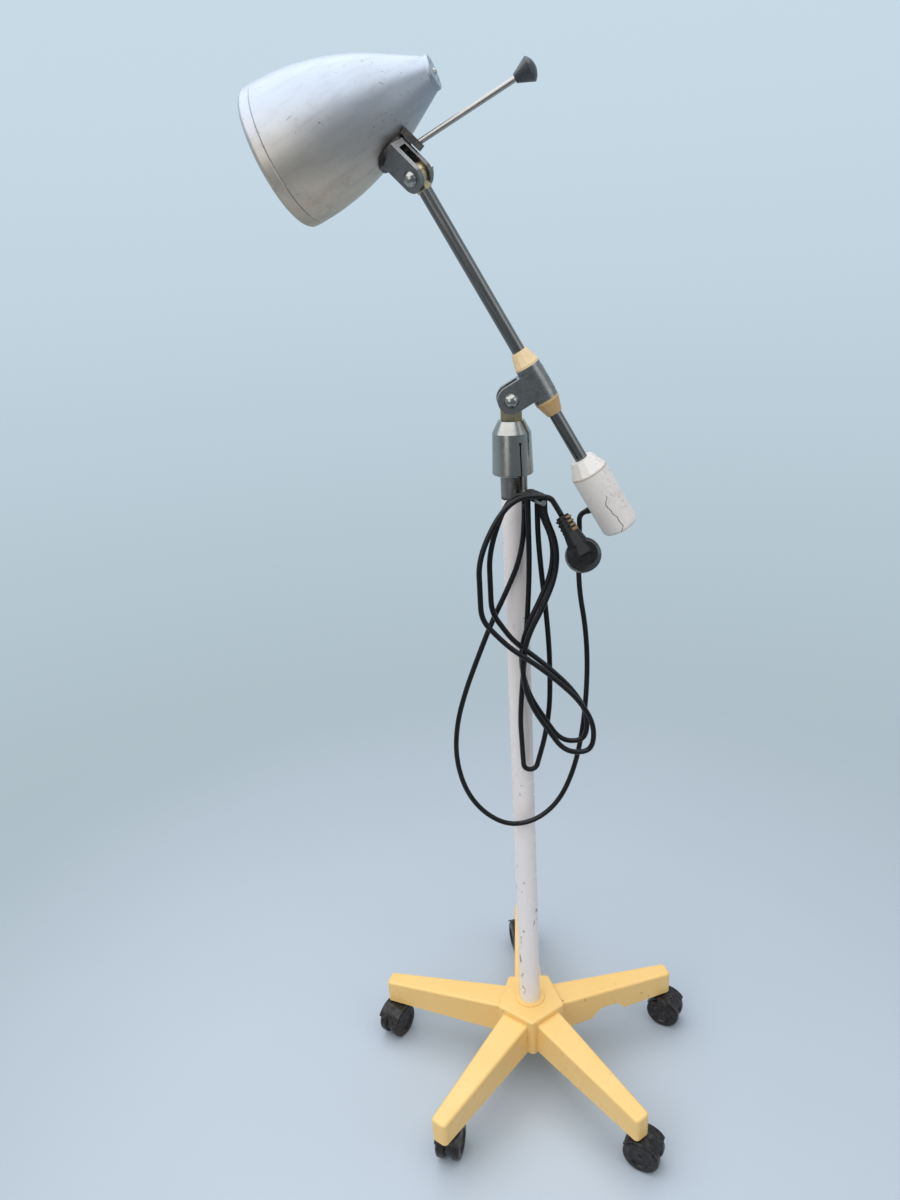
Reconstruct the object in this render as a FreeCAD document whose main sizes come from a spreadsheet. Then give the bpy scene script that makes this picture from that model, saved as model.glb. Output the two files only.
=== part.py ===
import FreeCAD, Part
import math
import os
import Sketcher
from FreeCAD import Placement, Rotation, Vector

doc = FreeCAD.newDocument("examination_lamp")
sheet = doc.addObject("Spreadsheet::Sheet", "Sizes")

X_AXIS = Vector(1, 0, 0)
Y_AXIS = Vector(0, 1, 0)
Z_AXIS = Vector(0, 0, 1)
HALF = 0.5

# Driving dimensions in millimetres, angles in degrees, grouped by piece
SIZES = {
    # floor base
    "hub_corner_radius": 52, "hub_bottom": 55, "hub_top": 114.5, "hub_corner_round": 5, "hub_top_round": 3.5,
    "hub_wall": 7, "hub_roof": 14, "hub_ring_diameter": 43, "hub_ring_height": 2.5, "hub_boss_diameter": 44,
    "hub_boss_bottom": 68, "hub_turn": -1.7,
    "leg_tip_radius": 231, "leg_root_width": 43, "leg_tip_width": 23.5, "leg_root_top": 105, "leg_tip_top": 91,
    "leg_bottom": 55, "leg_wall": 3, "leg_round": 4, "leg_tip_round": 6,
    "caster_inset": 18, "socket_boss_diameter": 19, "socket_boss_bottom": 61, "socket_diameter": 14,
    "socket_length": 25,
    "screw_diameter": 6, "screw_head_diameter": 10, "screw_head_height": 4, "screw_reach": 17,
    "screw_spread": 22, "screw_height": 84,
    # column
    "column_diameter": 30, "column_bore": 26, "column_foot": 80, "column_top": 952, "foot_plug_length": 30,
    "column_bolt_diameter": 10, "column_bolt_flats": 17, "column_bolt_head": 6.4, "column_washer_diameter": 28,
    "column_washer_thickness": 2, "top_cap_thickness": 3, "top_cap_spigot": 12,
    # casters
    "wheel_diameter": 50, "wheel_width": 13, "wheel_round": 4, "wheel_recess_radius": 16, "wheel_recess_depth": 2,
    "caster_trail": 15, "caster_web": 7, "wheel_side_gap": 0.5, "axle_diameter": 6, "stem_diameter": 11,
    "stem_bottom": 48.5, "hood_boss_bottom": 38, "hood_boss_diameter": 16.4, "hood_boss_top": 60.5,
    "hood_web_radius": 21, "hood_gap": 1.2, "hood_shell": 1.8, "hood_half_angle": 58,
    # collar and pivot
    "collar_overlap": 37, "collar_bottom_diameter": 48.4, "collar_skirt": 48.5,
    "collar_shoulder_diameter": 45.2, "collar_taper": 14, "collar_top_diameter": 30.5, "collar_edge": 2,
    "slit_width": 1.6, "slit_height": 38, "slit_hole_diameter": 3.6, "slit_turn": 20,
    "tongue_width": 24, "tongue_thickness": 12, "tongue_spigot": 14, "tongue_spigot_length": 15,
    "pivot_rise": 23.8, "pivot_diameter": 10, "bolt_head_diameter": 17, "bolt_head_height": 6.5,
    "nut_flats": 17, "nut_height": 8,
    "hook_diameter": 6.5, "hook_circle_radius": 19.6, "hook_turn": -52, "hook_drop": 24, "hook_bend": 9,
    "hook_reach": 41, "hook_depth": 12, "peg_turn": -64,
    # yoke and arm
    "yoke_round": 15.5, "yoke_thickness": 30, "yoke_slot_depth": 17, "sleeve_diameter": 30, "bush_diameter": 19,
    "arm_offset": 34.7, "arm_lean": 28.9, "arm_roll": 42, "arm_diameter": 15, "arm_bore": 11,
    "ring_height": 6, "ring_diameter": 29, "cone_lip_diameter": 28.8, "cone_lip": 3, "cone_length": 16,
    "cone_large_diameter": 28.4, "cone_small_diameter": 18.4,
    "arm_reach": 249.8, "arm_heel": 180, "tip_gap": 16.8, "tip_tongue_diameter": 24, "tip_tongue_thickness": 9.4,
    "tip_spigot_length": 20,
    # counterweight and gland
    "weight_diameter": 44.4, "weight_near": 122, "weight_far": 201, "weight_round": 4,
    "weight_cone_near": 103, "weight_cone_base_diameter": 43.4, "weight_cone_top_diameter": 27,
    "gland_drop": 168, "gland_turn": 145, "gland_diameter": 9.5, "gland_nose": 8, "gland_reach": 31,
    "gland_depth": 12,
    # clevis
    "clevis_width": 30, "clevis_cheek": 5, "clevis_gap": 10, "clevis_floor": 28, "clevis_base": 7,
    "clevis_tilt": 21.5, "head_swivel": 130.6, "swivel_pin_diameter": 8, "swivel_head_diameter": 14,
    "swivel_head_height": 3, "swivel_pin_top": 38.3,
    # head
    "stem_reach": 37.7, "mount_station": 126, "head_offset": 3.3, "head_side": 14.4, "pad_diameter": 46,
    "pad_side": 14, "pad_rise": 4.2, "lug_near": 19, "lug_far": 26, "lug_width": 10, "lug_side": 1,
    "lug_bottom": 14.5, "bezel_length": 15, "bezel_lap": 0.2, "seam": 0.9,
    "bezel_front_inset": 4.3, "bezel_lip_inset": 9.8, "bezel_lip": 3, "bezel_wall": 3, "bezel_front_bend": 6,
    "shade_front_diameter": 151.2, "shade_curve": 290, "shade_curve_end": 150, "shade_curve_end_diameter": 76.6,
    "shade_end": 187, "shade_end_diameter": 35, "shade_wall": 1.5, "glass_thickness": 4,
    "cap_thickness": 5, "cap_crown": 2.5, "vent_diameter": 3, "vent_circle_radius": 10.5, "cap_screw_diameter": 4,
    "cap_screw_head": 7.5, "cap_screw_head_height": 2.2, "cap_screw_length": 14,
    "holder_front": 104, "holder_back": 150, "holder_diameter": 40, "holder_neck_diameter": 22,
    "holder_neck_end": 160, "holder_stem_diameter": 11, "holder_bore": 27.4, "holder_bore_end": 128,
    "bulb_diameter": 60, "bulb_front": 22, "bulb_neck_diameter": 26.4, "bulb_neck_start": 100,
    "rod_diameter": 6, "rod_height": 18.9, "rod_lean": 19.5, "rod_socket": 5.5, "rod_length": 128.7,
    "knob_diameter": 25.4, "knob_neck_diameter": 9, "knob_length": 23, "knob_crown": 6, "knob_bore_depth": 12,
    # cord and plug
    "cord_diameter": 6.6, "loop_pitch": 8, "peg_gap": 0.95, "narrow_drop": 362, "narrow_reach": 36,
    "narrow_swing": 3, "inner_drop": 312, "inner_reach": 79, "inner_swing": 34, "outer_drop": 320,
    "outer_reach": 85, "outer_swing": 47, "gland_run": 12, "hook_run": 26, "route_grid": 100,
    "plug_diameter": 40, "plug_face": 15, "plug_back": 12, "plug_back_diameter": 28, "plug_neck_diameter": 19,
    "plug_neck_end_diameter": 15.5, "plug_neck_reach": 50, "plug_shoulder_diameter": 30,
    "plug_shoulder_reach": 29,
    "plug_rib_diameter": 19.5, "plug_rib": 2.2, "plug_rib_pitch": 5, "pin_diameter": 4.8, "pin_length": 19, "pin_pitch": 19,
    "plug_x": 73, "plug_front": 66, "plug_drop": 83, "plug_turn": 116, "plug_lean": 25,
    # fits
    "running_clearance": 0.05, "free_clearance": 0.3, "overrun": 1,
}
LEG_COUNT = 5
FACETS = 12
VENTS = 6
PLUG_RIBS = 4
# Swivel angle of each caster as it stands, from the leg behind the column on to the left
CASTER_TURNS = [100, 235, 76, 330, 330]
# The leg whose camera-side wall is chipped, and the chip's outline as shares of leg length and wall height
CHIPPED_LEG = 4
CHIP_SHARES = [(0.572, 0), (0.512, 0.33), (0.418, 0.42), (0.345, 0.38), (0.307, 0.22), (0.265, 0)]
WHEEL_AXLE_SHARE = 0.93
BULB_NECK_SHARE = 0.62
BULB_SHOULDER_SHARE = 1.3


class Size:
    """A number together with the sheet expression that drives it."""

    def __init__(self, value, text):
        self.value = float(value)
        self.text = text

    def __float__(self):
        return self.value

    def __add__(self, other):
        other = as_size(other)
        return Size(self.value + other.value, f"({self.text} + {other.text})")

    def __sub__(self, other):
        other = as_size(other)
        return Size(self.value - other.value, f"({self.text} - {other.text})")

    def __mul__(self, share):
        return Size(self.value * share, f"({self.text} * {share!r})")

    def __neg__(self):
        return self * -1

    __radd__ = __add__


def as_size(number):
    return number if isinstance(number, Size) else Size(number, repr(float(number)))


def fill_sheet():
    """Write every driving dimension to its own aliased cell."""
    for row, (name, value) in enumerate(SIZES.items(), start=1):
        sheet.set(f"A{row}", name)
        sheet.set(f"B{row}", str(value))
        sheet.setAlias(f"B{row}", name)
    doc.recompute()


def sz(name):
    return Size(sheet.get(name), f"Sizes.{name}")


def half(name):
    return sz(name) * HALF


def num(name):
    return float(sheet.get(name))


def bind(obj, prop, size):
    setattr(obj, prop, float(size))
    obj.setExpression(prop, as_size(size).text)


fill_sheet()
CLEAR = sz("running_clearance")
FREE = sz("free_clearance")
OVER = sz("overrun")
# Heights up the column and the casters' place on the legs
collar_bottom = sz("column_top") - sz("collar_overlap")
collar_shoulder = collar_bottom + sz("collar_skirt")
collar_top = collar_shoulder + sz("collar_taper")
slit_top = collar_bottom + sz("slit_height")
pivot_height = collar_top + sz("pivot_rise")
caster_circle = sz("leg_tip_radius") - sz("caster_inset")
pieces = []


# Small building blocks

def set_base(obj, at, rotation):
    obj.Placement = Placement(Vector(*(float(c) for c in at)), rotation)
    for axis, c in zip("xyz", at):
        if isinstance(c, Size):
            obj.setExpression(f"Placement.Base.{axis}", c.text)


TURN_TO = {"Z": Rotation(), "X": Rotation(Y_AXIS, 90), "Y": Rotation(X_AXIS, -90)}


def cylinder(name, radius, length, at=(0, 0, 0), axis="Z"):
    obj = doc.addObject("Part::Cylinder", name)
    bind(obj, "Radius", radius)
    bind(obj, "Height", length)
    set_base(obj, at, TURN_TO[axis])
    return obj


def cone(name, start_radius, end_radius, length, at):
    """A cone along X."""
    obj = doc.addObject("Part::Cone", name)
    bind(obj, "Radius1", start_radius)
    bind(obj, "Radius2", end_radius)
    bind(obj, "Height", length)
    set_base(obj, at, TURN_TO["X"])
    return obj


def box(name, sizes, at):
    obj = doc.addObject("Part::Box", name)
    for prop, size in zip(("Length", "Width", "Height"), sizes):
        bind(obj, prop, size)
    set_base(obj, at, Rotation())
    return obj


def hexagon(name, flats, height, at, axis="Z"):
    obj = doc.addObject("Part::Prism", name)
    obj.Polygon = 6
    bind(obj, "Circumradius", flats * (1 / math.sqrt(3)))
    bind(obj, "Height", height)
    set_base(obj, at, TURN_TO[axis])
    return obj


def cut(name, base, *tools):
    for number, tool in enumerate(tools):
        obj = doc.addObject("Part::Cut", f"{name}Cut{number}")
        obj.Base = base
        obj.Tool = tool
        base = obj
    return base


def fuse(name, *shapes):
    obj = doc.addObject("Part::MultiFuse", name)
    obj.Shapes = list(shapes)
    obj.Refine = True
    return obj


def group(name, *shapes):
    obj = doc.addObject("Part::Compound", name)
    obj.Links = list(shapes)
    return obj


def piece(label, obj, frame=None):
    """Name a finished sub-part and put it in its frame."""
    obj.Label = label
    if frame is not None:
        obj.Placement = frame
    pieces.append((label, obj))
    return obj


def new_body(name):
    return doc.addObject("PartDesign::Body", name)


def sketch(body, role, offset=None):
    plane = next(f for f in body.Origin.OriginFeatures if f.Role == role)
    sk = body.newObject("Sketcher::SketchObject", body.Name + "Sketch")
    sk.AttachmentSupport = [(plane, "")]
    sk.MapMode = "FlatFace"
    if offset is not None:
        sk.AttachmentOffset = Placement(Vector(0, 0, float(offset)), Rotation())
        sk.setExpression("AttachmentOffset.Base.z", as_size(offset).text)
    return sk


def pin(sk, geo, pos, kind, size):
    """Tie one coordinate of a sketch point to the sheet."""
    size = as_size(size)
    if size.value == 0:
        axis = -2 if kind == "DistanceX" else -1
        sk.addConstraint(Sketcher.Constraint("PointOnObject", geo, pos, axis))
        return
    index = sk.addConstraint(Sketcher.Constraint(kind, -1, 1, geo, pos, size.value))
    sk.setExpression(f"Constraints[{index}]", size.text)


def arc_between(a, b, radius):
    """A counter-clockwise arc of the given radius from a to b."""
    chord = b - a
    depth = math.sqrt(max(radius ** 2 - (chord.Length * HALF) ** 2, 0))
    inward = Vector(-chord.y, chord.x, 0).normalize()
    centre = (a + b) * HALF + inward * depth
    return Part.Arc(a, centre - inward * radius, b)


def outline(sk, points, arcs=None):
    """A closed outline through points; arcs maps a side's number to its radius."""
    arcs = arcs or {}
    first = sk.GeometryCount
    count = len(points)
    corners = [Vector(float(x), float(y), 0) for x, y in points]
    for i in range(count):
        a, b = corners[i], corners[(i + 1) % count]
        side = arc_between(a, b, float(arcs[i])) if i in arcs else Part.LineSegment(a, b)
        sk.addGeometry(side, False)
    for i in range(count):
        sk.addConstraint(Sketcher.Constraint("Coincident", first + i, 2, first + (i + 1) % count, 1))
    for i, (x, y) in enumerate(points):
        pin(sk, first + i, 1, "DistanceX", x)
        pin(sk, first + i, 1, "DistanceY", y)
    for i, radius in arcs.items():
        index = sk.addConstraint(Sketcher.Constraint("Radius", first + i, float(radius)))
        sk.setExpression(f"Constraints[{index}]", as_size(radius).text)


def circle(sk, radius, at=(0, 0)):
    geo = sk.addGeometry(Part.Circle(Vector(float(at[0]), float(at[1]), 0), Z_AXIS, float(radius)), False)
    index = sk.addConstraint(Sketcher.Constraint("Radius", geo, float(radius)))
    sk.setExpression(f"Constraints[{index}]", as_size(radius).text)
    pin(sk, geo, 3, "DistanceX", at[0])
    pin(sk, geo, 3, "DistanceY", at[1])


def rectangle(sk, left, right, low, high):
    outline(sk, [(left, low), (right, low), (right, high), (left, high)])


def polygon_points(radius, count, start):
    angles = [math.radians(start + 360 * k / count) for k in range(count)]
    return [(radius * math.cos(a), radius * math.sin(a)) for a in angles]


def revolve(name, points, arcs=None):
    """A body turned about Z from its half section of (radius, height) points."""
    body = new_body(name)
    sk = sketch(body, "XZ_Plane")
    outline(sk, points, arcs)
    turn = body.newObject("PartDesign::Revolution", name + "Turn")
    turn.Profile = sk
    turn.ReferenceAxis = (sk, ["V_Axis"])
    turn.Angle = 360
    body.Tip = turn
    doc.recompute()
    return body


def pad(body, sk, length):
    feature = body.newObject("PartDesign::Pad", body.Name + "Pad")
    feature.Profile = sk
    bind(feature, "Length", length)
    body.Tip = feature
    doc.recompute()
    return feature


def pocket(body, sk, length, backwards=False):
    """Cut a sketch into a body and make sure that it took something away."""
    before = body.Shape.Volume
    feature = body.newObject("PartDesign::Pocket", body.Name + "Pocket")
    feature.Profile = sk
    bind(feature, "Length", length)
    feature.Reversed = backwards
    body.Tip = feature
    doc.recompute()
    if not body.Shape.Volume < before:
        raise ValueError(f"{feature.Name} cuts nothing")
    return feature


def loft(body, kind, first, second):
    feature = body.newObject(f"PartDesign::{kind}Loft", body.Name + "Loft")
    feature.Profile = first
    feature.Sections = [second]
    feature.Ruled = True
    body.Tip = feature
    doc.recompute()
    return feature


def fillet(body, radius, wanted):
    """Round the edges of a body's last feature that pass the test."""
    feature = body.Tip
    names = [f"Edge{i}" for i, edge in enumerate(feature.Shape.Edges, start=1) if wanted(edge)]
    rounding = body.newObject("PartDesign::Fillet", body.Name + "Fillet")
    rounding.Base = (feature, names)
    bind(rounding, "Radius", radius)
    body.Tip = rounding
    doc.recompute()
    return rounding


def polar(body, feature, count):
    pattern = body.newObject("PartDesign::PolarPattern", body.Name + "Polar")
    pattern.Originals = [feature]
    pattern.Axis = (next(f for f in body.Origin.OriginFeatures if f.Role == "Z_Axis"), [""])
    pattern.Angle = 360
    pattern.Occurrences = count
    body.Tip = pattern
    doc.recompute()
    return pattern


def ends(edge):
    return [v.Point for v in edge.Vertexes]


def near(a, b):
    return abs(a - b) < num("running_clearance")


def upright(edge):
    p = ends(edge)
    return len(p) == 2 and near(p[0].x, p[1].x) and near(p[0].y, p[1].y)


def level_at(edge, height):
    return all(near(p.z, height) for p in ends(edge))


# Frames of the moving groups, each from the one that carries it
hub_frame = Placement(Vector(), Rotation(Z_AXIS, num("hub_turn")))
collar_frame = Placement(Vector(), Rotation(Z_AXIS, num("slit_turn")))
yoke_frame = Placement(Vector(0, 0, float(pivot_height)), Rotation(Y_AXIS, -num("arm_lean")))
arm_frame = yoke_frame * Placement(Vector(num("arm_offset"), 0, 0), Rotation())
tip_frame = arm_frame * Placement(Vector(0, 0, num("arm_reach")), Rotation(Z_AXIS, num("arm_roll")))
clevis_frame = tip_frame * Placement(Vector(), Rotation(X_AXIS, -num("clevis_tilt")))
mount_frame = clevis_frame * Placement(Vector(), Rotation(Z_AXIS, num("head_swivel")))


def shade_point(station):
    """Outer radius and surface slope of the shade's curved stretch at a distance behind its front."""
    a = Vector(num("bezel_length"), num("shade_front_diameter") * HALF, 0)
    b = Vector(num("shade_curve_end"), num("shade_curve_end_diameter") * HALF, 0)
    curve = num("shade_curve")
    chord = b - a
    inward = Vector(chord.y, -chord.x, 0).normalize()
    centre = (a + b) * HALF + inward * math.sqrt(curve ** 2 - (chord.Length * HALF) ** 2)
    slope = math.asin((station - centre.x) / curve)
    return centre.y + curve * math.cos(slope), slope


def find_head_frame():
    """The head's axis, from its front backwards, with its mount seated square on the swivel."""
    radius, slope = shade_point(num("mount_station"))
    sine, cosine = math.sin(slope), math.cos(slope)
    turn = Rotation(Vector(sine, 0, -cosine), Vector(0, -1, 0), Vector(-cosine, 0, -sine), "ZXY")
    foot = turn.multVec(Vector(radius, 0, num("mount_station")))
    seat = Vector(-num("head_offset"), -num("head_side"), num("stem_reach"))
    return mount_frame * Placement(seat - foot, turn)


head_frame = find_head_frame()


def leg_angle(number):
    return 90 + 360 * number / LEG_COUNT


def leg_frame(number):
    return hub_frame * Placement(Vector(), Rotation(Z_AXIS, leg_angle(number)))


def caster_frame(number):
    stem = leg_frame(number).multVec(Vector(float(caster_circle), 0, 0))
    return Placement(stem, Rotation(Z_AXIS, CASTER_TURNS[number]))


HUB_FACE_SHARE = math.cos(math.pi / LEG_COUNT)
hub_face = sz("hub_corner_radius") * HUB_FACE_SHARE


# Five-sided hub, hollow below, with the column's socket in its middle
def make_hub():
    body = new_body("Hub")
    corner_start = leg_angle(0) + 180 / LEG_COUNT
    sk = sketch(body, "XY_Plane", sz("hub_bottom"))
    outline(sk, polygon_points(sz("hub_corner_radius"), LEG_COUNT, corner_start))
    pad(body, sk, sz("hub_top") - sz("hub_bottom"))
    fillet(body, sz("hub_corner_round"), upright)
    fillet(body, sz("hub_top_round"), lambda e: level_at(e, num("hub_top")))
    sk = sketch(body, "XY_Plane", sz("hub_top"))
    circle(sk, half("hub_ring_diameter"))
    pad(body, sk, sz("hub_ring_height"))
    fillet(body, sz("hub_ring_height") * HALF, lambda e: level_at(e, num("hub_top") + num("hub_ring_height")))
    sk = sketch(body, "XY_Plane", sz("hub_bottom"))
    inner = sz("hub_corner_radius") - sz("hub_wall") * (1 / HUB_FACE_SHARE)
    outline(sk, polygon_points(inner, LEG_COUNT, corner_start))
    circle(sk, half("hub_boss_diameter"))
    pocket(body, sk, sz("hub_top") - sz("hub_bottom") - sz("hub_roof"), backwards=True)
    sk = sketch(body, "XY_Plane", sz("hub_bottom"))
    circle(sk, half("hub_boss_diameter"))
    pocket(body, sk, sz("hub_boss_bottom") - sz("hub_bottom"), backwards=True)
    sk = sketch(body, "XY_Plane", sz("column_foot"))
    circle(sk, half("column_diameter"))
    pocket(body, sk, sz("hub_top") + sz("hub_ring_height") - sz("column_foot") + OVER, backwards=True)
    sk = sketch(body, "XY_Plane", sz("hub_boss_bottom"))
    circle(sk, half("column_bolt_diameter"))
    pocket(body, sk, sz("column_foot") - sz("hub_boss_bottom"), backwards=True)
    sk = sketch(body, "XZ_Plane", -hub_face - OVER)
    for side in (-1, 1):
        circle(sk, half("screw_diameter"), (half("screw_spread") * side, sz("screw_height")))
    holes = pocket(body, sk, sz("hub_wall") + OVER + OVER, backwards=True)
    polar(body, holes, LEG_COUNT)
    piece("base_hub", body, hub_frame)


# Tapered leg, open below, with a caster socket boss under its tip
NO_WALL = Size(0, "0")


def leg_form(name, wall):
    """The leg's tapered block with a sloping roof, drawn in by a wall all round."""
    body = new_body(name)
    root, tip = hub_face + wall + wall, sz("leg_tip_radius") - wall
    root_side, tip_side = half("leg_root_width") - wall, half("leg_tip_width") - wall
    root_top, tip_top = sz("leg_root_top") - wall, sz("leg_tip_top") - wall
    low = sz("leg_bottom") if wall is NO_WALL else sz("leg_bottom") - OVER
    sk = sketch(body, "XY_Plane", low)
    outline(sk, [(root, -root_side), (tip, -tip_side), (tip, tip_side), (root, root_side)])
    pad(body, sk, root_top - low)
    sk = sketch(body, "XZ_Plane", -sz("leg_root_width"))
    outline(sk, [(root, root_top), (tip, tip_top), (tip, root_top + OVER), (root, root_top + OVER)])
    pocket(body, sk, sz("leg_root_width") * 2, backwards=True)
    return body


def make_leg(number):
    name = f"Leg{number}"
    body = leg_form(name, NO_WALL)
    tip = num("leg_tip_radius")
    fillet(body, sz("leg_tip_round"), lambda e: upright(e) and near(ends(e)[0].x, tip))
    fillet(body, sz("leg_round"), on_leg_roof)
    at = (caster_circle, 0, sz("socket_boss_bottom"))
    boss_length = sz("leg_tip_top") - sz("socket_boss_bottom")
    channel = cut(name + "Hollow", body, leg_form(name + "Inside", sz("leg_wall")))
    solid = fuse(name + "Solid", channel, cylinder(name + "Boss", half("socket_boss_diameter"), boss_length, at))
    holes = [cylinder(name + "Socket", half("socket_diameter"), sz("socket_length"), at)]
    for side in (-1, 1):
        start = (hub_face - OVER, half("screw_spread") * side, sz("screw_height"))
        holes.append(cylinder(f"{name}Screw{'ab'[side > 0]}", half("screw_diameter"),
                              sz("leg_wall") * 2 + OVER * 2, start, "X"))
    if number == CHIPPED_LEG:
        holes.append(chip_form())
    piece(f"leg_{number + 1}", cut(name + "Bored", solid, *holes), leg_frame(number))


def on_leg_roof(edge):
    """Edges round the leg's top face, apart from the one against the hub."""
    points = ends(edge)
    high = num("leg_tip_top") - num("leg_round")
    beyond = max(p.x for p in points) > float(hub_face) + num("leg_wall")
    return beyond and min(p.z for p in points) > high


def chip_form():
    """The piece that broke out of one leg's side wall."""
    body = new_body("Chip")
    length = sz("leg_tip_radius") - hub_face
    height = sz("leg_tip_top") - sz("leg_bottom")
    sk = sketch(body, "XZ_Plane", half("leg_tip_width") - sz("leg_wall") - OVER)
    outline(sk, [(hub_face + length * along, sz("leg_bottom") + height * up - OVER * (up == 0))
                 for along, up in CHIP_SHARES])
    pad(body, sk, half("leg_root_width"))
    return body


def make_base_fasteners():
    screws = []
    for number in range(LEG_COUNT):
        for side in (-1, 1):
            name = f"LegScrew{number}{'ab'[side > 0]}"
            start = hub_face - sz("hub_wall")
            at = (start, half("screw_spread") * side, sz("screw_height"))
            head = (start - sz("screw_head_height"), half("screw_spread") * side, sz("screw_height"))
            screw = fuse(name, cylinder(name + "Shank", half("screw_diameter"), sz("screw_reach"), at, "X"),
                         cylinder(name + "Head", half("screw_head_diameter"), sz("screw_head_height"), head, "X"))
            screw.Placement = leg_frame(number)
            screws.append(screw)
    piece("leg_screws", group("LegScrews", *screws))
    sockets = []
    for number in range(LEG_COUNT):
        name = f"Socket{number}"
        at = (caster_circle, 0, sz("socket_boss_bottom"))
        bore = half("stem_diameter") + CLEAR
        socket = cut(name, cylinder(name + "Tube", half("socket_diameter"), sz("socket_length"), at),
                     cylinder(name + "Bore", bore, sz("socket_length"), at))
        socket.Placement = leg_frame(number)
        sockets.append(socket)
    piece("caster_sockets", group("CasterSockets", *sockets))


# Column tube with its foot plug, bolt and top cap
def make_column():
    length = sz("column_top") - sz("column_foot")
    foot = (0, 0, sz("column_foot"))
    tube = cut("Column", cylinder("ColumnOuter", half("column_diameter"), length, foot),
               cylinder("ColumnInner", half("column_bore"), length, foot))
    piece("column_tube", tube)
    plug = cut("FootPlug", cylinder("FootPlugBody", half("column_bore"), sz("foot_plug_length"), foot),
               cylinder("FootPlugBore", half("column_bolt_diameter"), sz("foot_plug_length"), foot))
    piece("column_foot_plug", plug)
    washer_low = sz("hub_boss_bottom") - sz("column_washer_thickness")
    low = (0, 0, washer_low)
    washer = cut("ColumnWasher", cylinder("WasherDisc", half("column_washer_diameter"),
                                          sz("column_washer_thickness"), low),
                 cylinder("WasherHole", half("column_bolt_diameter"), sz("column_washer_thickness"), low))
    piece("column_washer", washer)
    shank = sz("column_foot") + sz("foot_plug_length") - washer_low
    bolt = fuse("ColumnBolt", cylinder("ColumnBoltShank", half("column_bolt_diameter"), shank, low),
                hexagon("ColumnBoltHead", sz("column_bolt_flats"), sz("column_bolt_head"),
                        (0, 0, washer_low - sz("column_bolt_head"))))
    piece("column_bolt", bolt)
    top = sz("column_top")
    cap = revolve("TopCap", [(0, top - sz("top_cap_spigot")), (half("column_bore"), top - sz("top_cap_spigot")),
                             (half("column_bore"), top), (half("column_diameter"), top),
                             (half("column_diameter"), top + sz("top_cap_thickness")),
                             (0, top + sz("top_cap_thickness"))])
    piece("column_top_cap", cap)


# Twin-wheel caster about its stem, standing on the floor
def make_caster(number):
    frame = caster_frame(number)
    name = f"Caster{number}"
    radius = half("wheel_diameter")
    trail = sz("caster_trail")
    axle_at = (trail, 0, radius)

    def across(tag, r, width):
        return cylinder(name + tag, r, width, (trail, width * -HALF, radius), "Y")

    inner = half("caster_web") + sz("wheel_side_gap")
    width = inner + inner + sz("wheel_width") + sz("wheel_width")
    shell_inner = radius + sz("hood_gap")
    shell = cut(name + "Shell", across("ShellOuter", shell_inner + sz("hood_shell"), width),
                across("ShellInner", shell_inner, width))
    sector = doc.addObject("Part::Cylinder", name + "Sector")
    bind(sector, "Radius", shell_inner + sz("hood_shell") + OVER)
    bind(sector, "Height", width)
    bind(sector, "Angle", sz("hood_half_angle") + sz("hood_half_angle"))
    sector.Placement = Placement(Vector(*(float(c) for c in (trail, width * HALF, radius))),
                                 Rotation(X_AXIS, 90) * Rotation(Z_AXIS, 90 - num("hood_half_angle")))
    arch = doc.addObject("Part::Common", name + "Arch")
    arch.Base = shell
    arch.Tool = sector
    web = cylinder(name + "Web", sz("hood_web_radius"), sz("caster_web"),
                   (trail, -half("caster_web"), radius), "Y")
    rib_top = shell_inner + sz("hood_shell") * HALF
    rib = box(name + "Rib", (sz("hood_web_radius"), sz("caster_web"), rib_top),
              (trail - sz("hood_web_radius") * HALF, -half("caster_web"), radius))
    boss_length = sz("hood_boss_top") - sz("hood_boss_bottom")
    boss = cylinder(name + "Boss", half("hood_boss_diameter"), boss_length, (0, 0, sz("hood_boss_bottom")))
    wheel_room = []
    for side in (-1, 1):
        low = inner if side > 0 else -inner - sz("wheel_width") - OVER
        wheel_room.append(cylinder(f"{name}Room{side > 0}", radius + sz("hood_gap"), sz("wheel_width") + OVER,
                                   (trail, low, radius), "Y"))
    solid = fuse(name + "HoodSolid", arch, web, rib, boss)
    hood = cut(name + "Hood", solid, *wheel_room,
               cylinder(name + "StemHole", half("stem_diameter"), boss_length, (0, 0, sz("stem_bottom"))),
               across("AxleHole", half("axle_diameter"), sz("caster_web") + OVER))
    piece(f"caster_{number + 1}_hood", hood, frame)

    stem_top = sz("socket_boss_bottom") + sz("socket_length") - FREE
    stem = cylinder(name + "Stem", half("stem_diameter"), stem_top - sz("stem_bottom"), (0, 0, sz("stem_bottom")))
    axle = across("Axle", half("axle_diameter"), width * WHEEL_AXLE_SHARE)
    piece(f"caster_{number + 1}_pins", group(name + "Pins", stem, axle), frame)

    wheels = []
    for side in (-1, 1):
        wheel = make_wheel(f"{name}Wheel{'ab'[side > 0]}")
        wheel.Placement = Placement(Vector(*(float(c) for c in axle_at)), Rotation(X_AXIS, -90 * side))
        wheels.append(wheel)
    piece(f"caster_{number + 1}_wheels", group(name + "Wheels", *wheels), frame)


def make_wheel(name):
    """One wheel with its axle along Z, inner face next to the hood's web."""
    inner = half("caster_web") + sz("wheel_side_gap")
    outer = inner + sz("wheel_width")
    bore = half("axle_diameter") + CLEAR
    tread = half("wheel_diameter")
    bend = sz("wheel_round")
    face = outer - sz("wheel_recess_depth")
    recess = sz("wheel_recess_radius")
    points = [(bore, inner), (tread - bend, inner), (tread, inner + bend), (tread, outer - bend),
              (tread - bend, outer), (recess, outer), (recess - sz("wheel_recess_depth"), face), (bore, face)]
    return revolve(name, points, {1: bend, 3: bend})


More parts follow.
